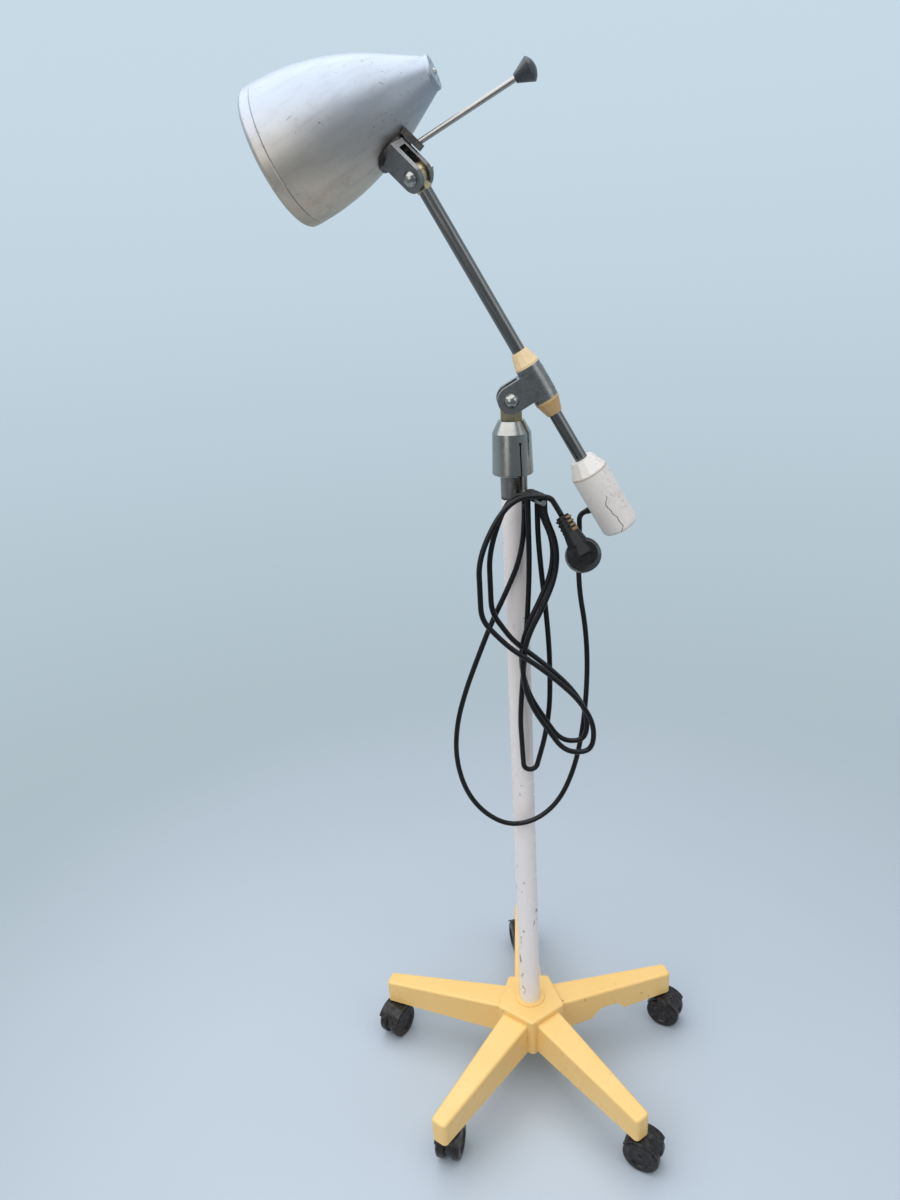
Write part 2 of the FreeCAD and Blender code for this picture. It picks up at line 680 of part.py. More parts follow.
# Slit friction collar that turns on the column's bare top
def make_collar():
    bore = half("column_diameter") + CLEAR
    floor = sz("column_top") + sz("top_cap_thickness") + FREE
    edge = sz("collar_edge")
    bottom, low_r = collar_bottom, half("collar_bottom_diameter")
    points = [(bore, bottom), (low_r - edge, bottom), (low_r, bottom + edge),
              (half("collar_shoulder_diameter"), collar_shoulder),
              (half("collar_top_diameter"), collar_top), (half("tongue_spigot"), collar_top),
              (half("tongue_spigot"), floor), (bore, floor)]
    body = revolve("Collar", points, {1: edge})
    sk = sketch(body, "XZ_Plane")
    rectangle(sk, -half("slit_width"), half("slit_width"), bottom - OVER, slit_top)
    pocket(body, sk, low_r + OVER, backwards=True)
    sk = sketch(body, "XZ_Plane")
    circle(sk, half("slit_hole_diameter"), (0, slit_top))
    pocket(body, sk, low_r + OVER, backwards=True)
    hole = cylinder("HookHole", half("hook_diameter"), sz("hook_depth"), (sz("hook_circle_radius"), 0, bottom))
    seat = group("HookSeat", hole)
    seat.Placement = Placement(Vector(), Rotation(Z_AXIS, num("hook_turn")))
    body.Placement = collar_frame
    piece("swivel_collar", cut("CollarBored", body, seat))


def make_tongue():
    pivot = pivot_height
    width, thick = sz("tongue_width"), sz("tongue_thickness")
    stem = box("TongueStem", (width, thick, pivot - collar_top),
               (width * -HALF, thick * -HALF, collar_top))
    top = cylinder("TongueTop", width * HALF, thick, (0, thick * -HALF, pivot), "Y")
    spigot = cylinder("TongueSpigot", half("tongue_spigot"), sz("tongue_spigot_length"),
                      (0, 0, collar_top - sz("tongue_spigot_length")))
    hole = cylinder("TongueHole", half("pivot_diameter") + CLEAR, thick + OVER,
                    (0, (thick + OVER) * -HALF, pivot), "Y")
    piece("pivot_tongue", cut("Tongue", fuse("TongueSolid", stem, top, spigot), hole))


def filleted_path(points, radius_of):
    """Straight runs joined by tangent arcs, with the arcs' radii."""
    edges, radii = [], []
    start = points[0]
    for i in range(1, len(points) - 1):
        here = points[i]
        back = (points[i - 1] - here).normalize()
        ahead = (points[i + 1] - here).normalize()
        turn = math.pi - back.getAngle(ahead)
        radius = radius_of(i, turn)
        reach = radius * math.tan(turn * HALF)
        a, b = here + back * reach, here + ahead * reach
        middle = (back + ahead).normalize()
        centre = here + middle * (radius / math.cos(turn * HALF))
        edges += [Part.LineSegment(start, a), Part.Arc(a, centre - middle * radius, b)]
        radii.append(radius)
        start = b
    edges.append(Part.LineSegment(start, points[-1]))
    return Part.Wire([e.toShape() for e in edges]), radii


def sweep_round(wire, radius):
    """A round bar along a wire."""
    edge = wire.Edges[0]
    start = edge.valueAt(edge.FirstParameter)
    along = edge.tangentAt(edge.FirstParameter)
    section = Part.Wire([Part.makeCircle(radius, start, along)])
    return wire.makePipeShell([section], True, False)


def bar(label, wire, radius):
    obj = doc.addObject("Part::Feature", label)
    obj.Shape = sweep_round(wire, radius)
    expected = math.pi * radius ** 2 * wire.Length
    print(f"{label}: length {wire.Length:.1f}, volume over section times length {obj.Shape.Volume / expected:.4f}")
    return obj


peg_turn = Rotation(Z_AXIS, num("peg_turn"))
hook_foot = Rotation(Z_AXIS, num("hook_turn")).multVec(Vector(num("hook_circle_radius"), 0, float(collar_bottom)))
peg_root = hook_foot - Z_AXIS * num("hook_drop")
peg_along = peg_turn.multVec(X_AXIS)


def make_hook():
    points = [hook_foot + Z_AXIS * num("hook_depth"), peg_root, peg_root + peg_along * num("hook_reach")]
    wire, _ = filleted_path(points, lambda i, turn: num("hook_bend"))
    piece("cord_hook", bar("Hook", wire, num("hook_diameter") * HALF))


# Yoke that carries the arm beside the pivot
def make_yoke():
    end, thick = sz("yoke_round"), sz("yoke_thickness")
    offset = sz("arm_offset")
    back = thick * -HALF
    block = fuse("YokeSolid", cylinder("YokeEnd", end, thick, (0, back, 0), "Y"),
                 box("YokeBlock", (offset, thick, end + end), (0, back, -end)),
                 cylinder("YokeSleeve", half("sleeve_diameter"), end + end, (offset, 0, -end)))
    gap = sz("tongue_thickness") + FREE + FREE
    slot = box("YokeSlot", (sz("yoke_slot_depth") + end + OVER, gap, (end + OVER) * 2),
               (-end - OVER, gap * -HALF, -end - OVER))
    bore = cylinder("YokeBore", half("bush_diameter"), end + end, (offset, 0, -end))
    pivot = cylinder("YokePivot", half("pivot_diameter"), thick, (0, back, 0), "Y")
    piece("arm_yoke", cut("Yoke", block, slot, bore, pivot), yoke_frame)

    low = (offset, 0, -end)
    bush = cut("Bush", cylinder("BushOuter", half("bush_diameter"), end + end, low),
               cylinder("BushBore", half("arm_diameter") + CLEAR, end + end, low))
    piece("sleeve_bush", bush, yoke_frame)
    rings = []
    for tag, z in (("Upper", end), ("Lower", -end - sz("ring_height"))):
        at = (offset, 0, z)
        rings.append(cut(f"Ring{tag}", cylinder(f"Ring{tag}Disc", half("ring_diameter"), sz("ring_height"), at),
                         cylinder(f"Ring{tag}Bore", half("arm_diameter") + FREE, sz("ring_height"), at)))
    piece("clamp_rings", group("ClampRings", *rings), yoke_frame)
    start = float(end) + num("ring_height")
    nuts = []
    for tag, side in (("upper", 1), ("lower", -1)):
        turn = Rotation() if side > 0 else Rotation(Y_AXIS, 180)
        place = Placement(Vector(num("arm_offset"), 0, start * side), turn)
        nut = make_cone(f"{tag.title()}Cone", sz("cone_lip"), half("cone_lip_diameter"), sz("cone_length"),
                        half("cone_large_diameter"), half("cone_small_diameter"), half("arm_diameter") + FREE)
        nut.Placement = place
        nuts.append(nut)
    piece("cone_nuts", group("ConeNuts", *nuts), yoke_frame)
    make_dome_bolt("pivot", yoke_frame, thick, "Y")


def make_cone(name, lip, lip_radius, length, large, small, bore):
    """A cone with flat facets on a round lip, bored along its axis from Z zero."""
    body = new_body(name)
    sk = sketch(body, "XY_Plane")
    circle(sk, lip_radius)
    pad(body, sk, lip)
    lower = sketch(body, "XY_Plane", lip)
    outline(lower, polygon_points(large, FACETS, 0))
    upper = sketch(body, "XY_Plane", lip + length)
    outline(upper, polygon_points(small, FACETS, 0))
    loft(body, "Additive", lower, upper)
    sk = sketch(body, "XY_Plane")
    circle(sk, bore)
    pocket(body, sk, lip + length + OVER, backwards=True)
    return body


def make_dome_bolt(name, frame, thick, axis):
    """A domed bolt through a fork, head on the near side, with its nut behind."""
    shank_r, head_r, rise = half("pivot_diameter"), half("bolt_head_diameter"), sz("bolt_head_height")
    crown = (num("bolt_head_diameter") ** 2 / 4 + num("bolt_head_height") ** 2) / (2 * num("bolt_head_height"))
    tail = thick + sz("nut_height") + OVER
    body = revolve(f"{name}Bolt".title(), [(0, -rise), (head_r, 0), (shank_r, 0), (shank_r, tail), (0, tail)],
                   {0: dome_radius(head_r, rise, crown)})
    turn = TURN_TO[axis]
    near_face = turn.multVec(Vector(0, 0, -float(thick) * HALF))
    piece(f"{name}_bolt", body, frame * Placement(near_face, turn))
    at = (0, 0, 0)
    nut = cut(f"{name}Nut", hexagon(f"{name}NutHex", sz("nut_flats"), sz("nut_height"), at),
              cylinder(f"{name}NutBore", shank_r, sz("nut_height"), at))
    far_face = turn.multVec(Vector(0, 0, float(thick) * HALF))
    piece(f"{name}_nut", nut, frame * Placement(far_face, turn))


def dome_radius(radius, rise, value):
    """Radius of the cap with this rim radius and rise."""
    r, h = radius.text, rise.text
    return Size(value, f"(({r} * {r} + {h} * {h}) / (2 * {h}))")


# Arm tube, its tip tongue and its counterweight
def make_arm():
    tail = -sz("arm_heel")
    end = sz("arm_reach") - sz("tip_gap")
    tube = cut("Arm", cylinder("ArmOuter", half("arm_diameter"), end - tail, (0, 0, tail)),
               cylinder("ArmInner", half("arm_bore"), end - tail, (0, 0, tail)))
    piece("arm_tube", tube, arm_frame)

    thick = sz("tip_tongue_thickness")
    gap = sz("tip_gap")
    disc = cylinder("TipDisc", half("tip_tongue_diameter"), thick, (thick * -HALF, 0, 0), "X")
    neck = box("TipNeck", (thick, sz("arm_diameter"), gap), (thick * -HALF, half("arm_diameter") * -1, -gap))
    spigot = cylinder("TipSpigot", half("arm_bore"), sz("tip_spigot_length"), (0, 0, -gap - sz("tip_spigot_length")))
    hole = cylinder("TipHole", half("pivot_diameter") + CLEAR, thick + OVER, ((thick + OVER) * -HALF, 0, 0), "X")
    piece("arm_tip_tongue", cut("Tip", fuse("TipSolid", disc, neck, spigot), hole), tip_frame)

    top, bottom, bend = -sz("weight_near"), -sz("weight_far"), sz("weight_round")
    r, bore = half("weight_diameter"), half("arm_diameter")
    weight = revolve("Weight", [(0, bottom), (r - bend, bottom), (r, bottom + bend), (r, top), (bore, top),
                                (bore, tail), (0, tail)], {1: bend})
    weight.Placement = arm_frame
    seat = cylinder("GlandSeat", half("gland_diameter"), r + OVER, (r - sz("gland_depth"), 0, 0), "X")
    seat_hole = group("GlandSeatHole", seat)
    seat_hole.Placement = gland_frame
    piece("counterweight_body", cut("WeightBored", weight, seat_hole))
    cone = make_cone("WeightCone", sz("collar_edge"), half("weight_cone_base_diameter"),
                     -sz("weight_cone_near") - top - sz("collar_edge"), half("weight_cone_base_diameter"),
                     half("weight_cone_top_diameter"), bore)
    piece("counterweight_cone", cone, arm_frame * Placement(Vector(0, 0, float(top)), Rotation()))

    reach = sz("gland_reach") - r + sz("gland_depth")
    gland = revolve("Gland", [(0, 0), (half("gland_diameter"), 0), (half("gland_diameter"), sz("gland_depth")),
                              (half("gland_nose"), reach), (0, reach)])
    start = Placement(Vector(float(r) - num("gland_depth"), 0, 0), TURN_TO["X"])
    piece("cord_gland", gland, gland_frame * start)


gland_frame = arm_frame * Placement(Vector(0, 0, -num("gland_drop")), Rotation(Z_AXIS, num("gland_turn")))


# Clevis that tilts on the arm's tip and carries the head's swivel pin
def make_clevis():
    width, cheek, gap = sz("clevis_width"), sz("clevis_cheek"), sz("clevis_gap")
    thick = cheek + cheek + gap
    floor, top = sz("clevis_floor"), sz("clevis_floor") + sz("clevis_base")
    block = fuse("ClevisSolid", cylinder("ClevisEnd", width * HALF, thick, (thick * -HALF, 0, 0), "X"),
                 box("ClevisBlock", (thick, width, top), (thick * -HALF, width * -HALF, 0)))
    slot = box("ClevisSlot", (gap, width + OVER + OVER, width * HALF + OVER + floor),
               (gap * -HALF, width * -HALF - OVER, width * -HALF - OVER))
    bolt = cylinder("ClevisBoltHole", half("pivot_diameter"), thick, (thick * -HALF, 0, 0), "X")
    hole = cylinder("ClevisPinHole", half("swivel_pin_diameter"), sz("clevis_base"), (0, 0, floor))
    piece("head_clevis", cut("Clevis", block, slot, bolt, hole), clevis_frame)
    make_dome_bolt("clevis", clevis_frame, thick, "X")
    pin_low = floor - sz("swivel_head_height")
    pin_body = fuse("SwivelPin", cylinder("SwivelShank", half("swivel_pin_diameter"),
                                          sz("swivel_pin_top") - floor, (0, 0, floor)),
                    cut("SwivelHead", cylinder("SwivelHeadDisc", half("swivel_head_diameter"),
                                               sz("swivel_head_height"), (0, 0, pin_low)),
                        box("SwivelFlatA", (cheek, width, sz("swivel_head_height")),
                            (gap * HALF - CLEAR, width * -HALF, pin_low)),
                        box("SwivelFlatB", (cheek, width, sz("swivel_head_height")),
                            (gap * -HALF + CLEAR - cheek, width * -HALF, pin_low))))
    piece("swivel_pin", pin_body, clevis_frame)


def shade_form(name, inset):
    """The shade's solid of revolution from its seam with the bezel to its rear end, drawn in by an inset."""
    front, bend, end = sz("bezel_length"), sz("shade_curve_end"), sz("shade_end")
    seam, wide = sz("seam"), half("shade_front_diameter")
    points = [(0, front), (wide - seam - inset, front), (wide - inset, front + seam),
              (half("shade_curve_end_diameter") - inset, bend), (half("shade_end_diameter") - inset, end), (0, end)]
    return revolve(name, points, {2: sz("shade_curve") - inset})


# Head: bezel, glass, shade, rear cap, lamp holder and bulb
def make_head():
    wall = sz("shade_wall")
    shade = cut("Shade", shade_form("ShadeOuter", NO_WALL), shade_form("ShadeInner", wall))
    piece("shade", shade, head_frame)

    length, lip = sz("bezel_length"), sz("bezel_lip")
    rim = half("shade_front_diameter") + sz("bezel_lap")
    front, opening = rim - sz("bezel_front_inset"), rim - sz("bezel_lip_inset")
    inside = rim - sz("bezel_wall")
    bezel = revolve("Bezel", [(opening, 0), (front, 0), (rim, sz("bezel_front_bend")), (rim, length - sz("seam")),
                              (rim - sz("seam"), length), (inside, length), (inside, lip), (opening, lip)],
                    {1: sz("bezel_front_bend")})
    piece("front_bezel", bezel, head_frame)
    glass = cylinder("Glass", inside, sz("glass_thickness"))
    piece("front_glass", glass, head_frame * Placement(Vector(0, 0, float(lip)), Rotation()))

    end, r = sz("shade_end"), half("shade_end_diameter")
    thick, crown = sz("cap_thickness"), sz("cap_crown")
    screw_r = half("cap_screw_diameter")
    cap = revolve("RearCap", [(screw_r, end), (r, end), (r, end + thick - crown), (r - crown, end + thick),
                              (screw_r, end + thick)], {2: crown})
    sk = sketch(cap, "XY_Plane", end)
    circle(sk, half("vent_diameter"), (sz("vent_circle_radius"), 0))
    polar(cap, pocket(cap, sk, thick + OVER, backwards=True), VENTS)
    piece("rear_cap", cap, head_frame)
    top = end + thick
    screw = revolve("CapScrew", [(0, top - sz("cap_screw_length")), (screw_r, top - sz("cap_screw_length")),
                                 (screw_r, top), (half("cap_screw_head"), top),
                                 (screw_r, top + sz("cap_screw_head_height")),
                                 (0, top + sz("cap_screw_head_height"))])
    piece("rear_cap_screw", screw, head_frame)

    hole_r, stem_r, neck_r = half("holder_bore"), half("holder_stem_diameter"), half("holder_neck_diameter")
    holder = revolve("Holder", [(0, sz("holder_bore_end")), (hole_r, sz("holder_bore_end")),
                                (hole_r, sz("holder_front")), (half("holder_diameter"), sz("holder_front")),
                                (half("holder_diameter"), sz("holder_back")), (neck_r, sz("holder_back")),
                                (neck_r, sz("holder_neck_end")), (stem_r, sz("holder_neck_end")), (stem_r, end),
                                (screw_r, end), (screw_r, top - sz("cap_screw_length")),
                                (0, top - sz("cap_screw_length"))])
    piece("lamp_holder", holder, head_frame)
    globe = half("bulb_diameter")
    belly = sz("bulb_front") + globe
    bulb_neck = half("bulb_neck_diameter")
    bulb = revolve("Bulb", [(0, sz("bulb_front")), (globe, belly), (globe * BULB_NECK_SHARE, belly + globe),
                            (bulb_neck, sz("bulb_neck_start")), (bulb_neck, sz("holder_bore_end")),
                            (0, sz("holder_bore_end"))], {0: globe, 1: globe * BULB_SHOULDER_SHARE})
    piece("bulb", bulb, head_frame)
    make_pad_and_handle()


def make_pad_and_handle():
    low = sz("clevis_floor") + sz("clevis_base") + FREE
    disc = cylinder("PadDisc", half("pad_diameter"), sz("pad_rise"), (0, -sz("pad_side"), low))
    lug = box("PadLug", (sz("lug_far") - sz("lug_near"), sz("lug_width"), low + sz("pad_rise") - sz("lug_bottom")),
              (-sz("lug_far"), -sz("lug_side") - half("lug_width"), sz("lug_bottom")))
    pin_hole = cylinder("PadPinHole", half("swivel_pin_diameter") + CLEAR, sz("swivel_pin_top") + FREE - low,
                        (0, 0, low))
    backward = Rotation(Y_AXIS, -num("rod_lean")).multVec(-X_AXIS)
    rod_turn = Rotation(Z_AXIS, backward)
    rod_exit = Vector(-num("lug_far"), 0, num("rod_height"))
    rod_start = Placement(rod_exit - backward * num("rod_socket"), rod_turn)
    rod_hole = cylinder("PadRodHole", half("rod_diameter"), sz("rod_length"))
    rod_hole.Placement = rod_start
    drilled = cut("PadDrilled", fuse("PadSolid", disc, lug), pin_hole, rod_hole)
    drilled.Placement = mount_frame
    room = shade_form("PadRoom", NO_WALL)
    room.Placement = head_frame
    piece("mount_pad", cut("PadSaddle", drilled, room))
    rod = cylinder("HandleRod", half("rod_diameter"), sz("rod_length"))
    piece("handle_rod", rod, mount_frame * rod_start)

    r, neck, crown = half("knob_diameter"), half("knob_neck_diameter"), sz("knob_crown")
    rod_r, deep = half("rod_diameter"), sz("knob_bore_depth")
    length = sz("knob_length")
    cap_radius = dome_radius(r, crown, (num("knob_diameter") ** 2 / 4 + num("knob_crown") ** 2)
                             / (2 * num("knob_crown")))
    knob = revolve("Knob", [(rod_r, 0), (neck, 0), (r, length - crown), (0, length), (0, deep), (rod_r, deep)],
                   {2: cap_radius})
    seat = Placement(Vector(0, 0, num("rod_length") - num("knob_bore_depth")), Rotation())
    piece("handle_knob", knob, mount_frame * rod_start * seat)


# Angled mains plug, its neck and the two pins
plug_place = Vector(num("plug_x"), -num("plug_front"), float(collar_bottom) - num("plug_drop"))
plug_frame = Placement(plug_place, Rotation(X_AXIS, -90 - num("plug_lean")))
neck_frame = plug_frame * Placement(Vector(), Rotation(Z_AXIS, -num("plug_turn")))


def make_plug():
    r, back_r = half("plug_diameter"), half("plug_back_diameter")
    body = revolve("PlugBody", [(0, -sz("plug_back")), (back_r, -sz("plug_back")), (r, 0), (r, sz("plug_face")),
                                (0, sz("plug_face"))])
    shoulder = cone("PlugShoulder", half("plug_shoulder_diameter"), half("plug_neck_diameter"),
                    sz("plug_shoulder_reach"), (0, 0, 0))
    neck = cone("PlugNeck", half("plug_neck_diameter"), half("plug_neck_end_diameter"),
                sz("plug_neck_reach") - sz("plug_shoulder_reach"), (sz("plug_shoulder_reach"), 0, 0))
    ribs = []
    for number in range(PLUG_RIBS):
        at = sz("plug_neck_reach") - sz("plug_rib_pitch") * (number + 1)
        ribs.append(cylinder(f"PlugRib{number}", half("plug_rib_diameter"), sz("plug_rib"), (at, 0, 0), "X"))
    stalk = fuse("PlugStalk", shoulder, neck, *ribs)
    stalk.Placement = Placement(Vector(), Rotation(Z_AXIS, -num("plug_turn")))
    piece("mains_plug", fuse("Plug", body, stalk), plug_frame)
    pins = []
    for side in (-1, 1):
        at = (0, half("pin_pitch") * side, sz("plug_face"))
        pins.append(cylinder(f"PlugPin{side > 0}", half("pin_diameter"), sz("pin_length"), at))
    piece("plug_pins", group("PlugPins", *pins), neck_frame)


# Cord: its free run from the counterweight to the hook, then its hank down to the plug
# Corners of the cord's free run from the gland down and up to the hook, from the collar's lower end,
# as shares of the route grid
FREE_RUN_SHARES = [(0.83, 0.16, -0.81), (0.77, 0.08, -1.19), (0.77, -0.01, -1.59), (0.83, -0.07, -2),
                   (0.86, -0.12, -2.47), (0.83, -0.16, -2.95), (0.77, -0.19, -3.43), (0.66, -0.21, -3.95),
                   (0.46, -0.22, -4.42), (0.15, -0.23, -4.7), (-0.22, -0.23, -4.76), (-0.55, -0.23, -4.54),
                   (-0.78, -0.23, -4.17), (-0.88, -0.23, -3.67), (-0.84, -0.23, -3.17), (-0.7, -0.23, -2.69),
                   (-0.52, -0.23, -2.23), (-0.34, -0.23, -1.79), (-0.14, -0.23, -1.39), (0.03, -0.24, -1)]
BEND_SHARE = 0.45


def smooth_radius(points, i, turn):
    """The largest arc that a bend of a cord's route has room for."""
    run = min((points[i] - points[i - 1]).Length, (points[i + 1] - points[i]).Length)
    return BEND_SHARE * run / math.tan(turn * HALF)


def biarc(a, along_a, b, along_b):
    """Two tangent arcs from a to b that leave and arrive along the given directions."""
    gap = b - a
    total = along_a + along_b
    square = 2 * (1 - along_a.dot(along_b))
    linear = gap.dot(total)
    if square < 1e-9:
        reach = gap.dot(gap) / (2 * linear)
    else:
        reach = (-linear + math.sqrt(linear ** 2 + square * gap.dot(gap))) / square
    first, second = a + along_a * reach, b - along_b * reach
    joint = (first + second) * HALF
    return [round_corner(a, first, joint), round_corner(joint, second, b)]


def round_corner(a, corner, b):
    """The arc from a to b whose end tangents meet at a corner."""
    middle = (a + b) * HALF
    rise = corner - middle
    side = (b - a).Length * HALF
    if rise.Length < side * 1e-4:
        return Part.LineSegment(a, b)
    slant = math.hypot(side, rise.Length)
    return Part.Arc(a, middle + rise * (side * (slant - side) / rise.Length ** 2), b)


# Shape of a loop as shares of its reach or swing to the side and of its drop, the cord's heading there in
# degrees, and how far the cord has moved from the loop's first layer to its second
NARROW_LOOP_SHARES = [(1, 0.652, -90, 0), (0.74, 0.872, -105, 0), (0.47, 0.962, -114, 0), (0.2, 1, 180, 0),
                      (-1, 0.937, 90, 0),
                      (0.33, 0.33, 86, 0)]
WIDE_LOOP_SHARES = [(0.52, 0.22, -92, 0), (0.21, 0.45, -117, 0), (0.01, 0.644, -90, 0), (0.235, 0.856, -58, 0),
                    (0.79, 1, 0, 0.5), (1, 0.928, 90, 0.7), (0.65, 0.7375, 133, 1), (0, 0.58, 141, 1),
                    (-0.79, 0.4625, 124, 1), (-1, 0.284, 90, 1)]
# Each loop's shape, drop, reach to the right, swing to the left and its two layers along the peg
LOOPS = [(NARROW_LOOP_SHARES, "narrow_drop", "narrow_reach", "narrow_swing", 0, 0),
         (WIDE_LOOP_SHARES, "inner_drop", "inner_reach", "inner_swing", 1.25, 2.3),
         (WIDE_LOOP_SHARES, "outer_drop", "outer_reach", "outer_swing", 3.3, 4.3)]
SETTLE_SHARE = 0.1


def heading(degrees):
    return Vector(math.cos(math.radians(degrees)), 0, math.sin(math.radians(degrees)))


def hank_stations():
    """Points and directions of the loops, each over the peg to the right, down, round and up on the left."""
    bend = num("hook_diameter") * HALF + num("cord_diameter") * HALF + num("peg_gap")
    step = peg_along * num("loop_pitch")
    first = peg_root + peg_along * (num("hook_bend") + num("cord_diameter") * HALF)
    stations = [(first - X_AXIS * bend, Z_AXIS)]
    for number, (shape, drop, reach, swing, low_layer, high_layer) in enumerate(LOOPS):
        top = first + step * number
        stations += [(top + Z_AXIS * bend, X_AXIS), (top + X_AXIS * bend, -Z_AXIS)]
        for index, (side_share, drop_share, degrees, climb_share) in enumerate(shape):
            layer = low_layer + (high_layer - low_layer) * climb_share
            if index == 0:
                layer = (layer + number) * HALF
            if index == len(shape) - 1:
                layer += (number + 1 - layer) * SETTLE_SHARE
            side = num(reach) if side_share > 0 else num(swing)
            here = Vector(side * side_share, first.y + step.y * layer, top.z - num(drop) * drop_share)
            stations.append((here, heading(degrees)))
        if shape is NARROW_LOOP_SHARES:
            stations.append((top + step - X_AXIS * bend, Z_AXIS))
    last = first + step * len(LOOPS)
    stations.append((last + Z_AXIS * bend, X_AXIS))
    return stations


def least_gap(wire, radius, step):
    """Least clear gap of a tube to itself, over points further apart along it than they can bend."""
    points = wire.discretize(Distance=step)
    skip = int(8 * radius / step)
    best = float("inf")
    for i, p in enumerate(points):
        for q in points[i + skip:]:
            best = min(best, p.distanceToPoint(q))
    return best - 2 * radius


def make_cord():
    radius = num("cord_diameter") * HALF
    stations = hank_stations()
    neck_end = neck_frame.multVec(Vector(num("plug_neck_reach"), 0, 0))
    neck_out = neck_frame.Rotation.multVec(X_AXIS)
    tail = neck_end + neck_out * num("cord_diameter")
    stations.append((tail, -neck_out))
    edges = []
    for (a, along_a), (b, along_b) in zip(stations, stations[1:]):
        edges += biarc(a, along_a, b, along_b)
    first = stations[0][0]
    start = first - Z_AXIS * num("cord_diameter")
    edges = [Part.LineSegment(start, first)] + edges + [Part.LineSegment(tail, neck_end)]
    wire = Part.Wire([e.toShape() for e in edges])
    arcs = [e.Curve.Radius for e in wire.Edges if isinstance(e.Curve, Part.Circle)]
    print(f"hank: least radius {min(arcs):.1f}, least gap to itself {least_gap(wire, radius, radius):.2f}")
    piece("cord_hank", bar("CordHank", wire, radius))

    gland_end = gland_frame.multVec(Vector(num("gland_reach"), 0, 0))
    gland_out = gland_frame.Rotation.multVec(X_AXIS)
    points = [gland_end, gland_end + gland_out * num("gland_run")]
    points += [Z_AXIS * float(collar_bottom) + Vector(*p) * num("route_grid") for p in FREE_RUN_SHARES]
    points += [start - Z_AXIS * num("hook_run"), start]
    wire, radii = filleted_path(points, lambda i, turn: smooth_radius(points, i, turn))
    print("free run radii", " ".join(f"{r:.0f}" for r in radii))
    piece("cord_free", bar("CordFree", wire, radius))


def check_and_write():
    """Stop at any failed object, then write one file for each sub-part."""
    doc.recompute()
    for obj in doc.Objects:
        if "Invalid" in obj.State or "Error" in obj.State:
            raise ValueError(f"{obj.Name} failed: {obj.State}")
    os.makedirs("parts", exist_ok=True)
    for label, obj in pieces:
        shape = obj.Shape
        if shape.isNull() or not shape.isValid() or not shape.Solids:
            raise ValueError(f"{label} has no valid solid")
    for label, obj in pieces:
        obj.Shape.exportStep(f"parts/{label}.step")
    print(len(pieces), "sub-parts")


def print_frames():
    """Axes and places of the joints, in millimetres."""
    for name, frame, axis in (("arm_tilt", yoke_frame, Y_AXIS), ("arm_roll", arm_frame, Z_AXIS),
                              ("head_tilt", tip_frame, X_AXIS), ("head_swivel", mount_frame, Z_AXIS),
                              ("head", head_frame, Z_AXIS)):
        print(name, "at", [round(c, 3) for c in frame.Base], "axis",
              [round(c, 6) for c in frame.Rotation.multVec(axis)])
    for number in range(LEG_COUNT):
        frame = caster_frame(number)
        axle = frame.multVec(Vector(num("caster_trail"), 0, num("wheel_diameter") * HALF))
        print("caster", number + 1, [round(c, 3) for c in frame.Base], [round(c, 3) for c in axle],
              [round(c, 6) for c in frame.Rotation.multVec(Y_AXIS)])


make_hub()
for leg in range(LEG_COUNT):
    make_leg(leg)
make_base_fasteners()
make_column()
for leg in range(LEG_COUNT):
    make_caster(leg)
make_collar()
make_tongue()
make_hook()
make_yoke()
make_arm()
make_clevis()
make_head()
make_plug()
make_cord()
check_and_write()
print_frames()
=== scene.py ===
import math

import bmesh
import bpy
from mathutils import Matrix, Vector


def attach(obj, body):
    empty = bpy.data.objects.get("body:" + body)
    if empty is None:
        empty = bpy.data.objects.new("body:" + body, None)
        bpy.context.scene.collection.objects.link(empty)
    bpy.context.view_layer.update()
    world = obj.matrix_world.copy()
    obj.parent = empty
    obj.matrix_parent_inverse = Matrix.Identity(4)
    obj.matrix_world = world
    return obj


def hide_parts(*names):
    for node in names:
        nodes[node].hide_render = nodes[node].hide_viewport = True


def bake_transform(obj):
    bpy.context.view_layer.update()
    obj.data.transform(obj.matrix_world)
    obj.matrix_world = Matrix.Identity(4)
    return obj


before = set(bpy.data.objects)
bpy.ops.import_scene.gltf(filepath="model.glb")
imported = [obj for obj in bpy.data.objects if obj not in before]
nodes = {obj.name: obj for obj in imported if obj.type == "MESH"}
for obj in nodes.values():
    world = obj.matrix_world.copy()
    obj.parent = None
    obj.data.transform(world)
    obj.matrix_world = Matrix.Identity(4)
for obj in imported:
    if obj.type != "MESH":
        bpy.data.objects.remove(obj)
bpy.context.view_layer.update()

scene = bpy.context.scene

# Lengths and places are in metres, apart from the cord's routes, which are in millimetres
MILLIMETRES = 1000
LEG_COUNT = 5

# The cord's thickness and number of sides, the length of its piece at the gland, and how many points each
# span of a spline gets
CORD_DIAMETER = 0.0066
CORD_SIDES = 12
GLAND_RUN = 0.040
SPLINE_STEPS = 8

# The arm's direction, a direction square to it, and where the arm's middle lies along that
ARM_AXIS = (-0.483282, 0.0, 0.875465)
ARM_SIDE = (0.875465, 0.0, 0.483282)
ARM_MIDDLE = 0.5182
# Places along the arm: where the counterweight's crack ends, and where its cone meets its body
CRACK_END = 0.728
CONE_SEAM = 0.7546
ROD_AXIS = (0.8842, -0.17532, 0.43297)

# Height at which the column's paint ends
PAINT_END = 0.8856

# The plug's directions, where they are counted from, and its neck's ribs
PLUG_UP = (-0.43837, 0.37985, 0.81458)
PLUG_SIDE = (0.8988, 0.1853, 0.3973)
PLUG_FOOT = 0.62066
PLUG_MIDDLE = 0.38393
RIBS_START = 0.0297
RIBS_END = 0.0476
RIB_PITCH = 0.005

# Distance from the column at which the floor begins to fade, and at which it ends
FLOOR_FULL = 0.42
FLOOR_END = 1.5
FLOOR_SIDES = 96

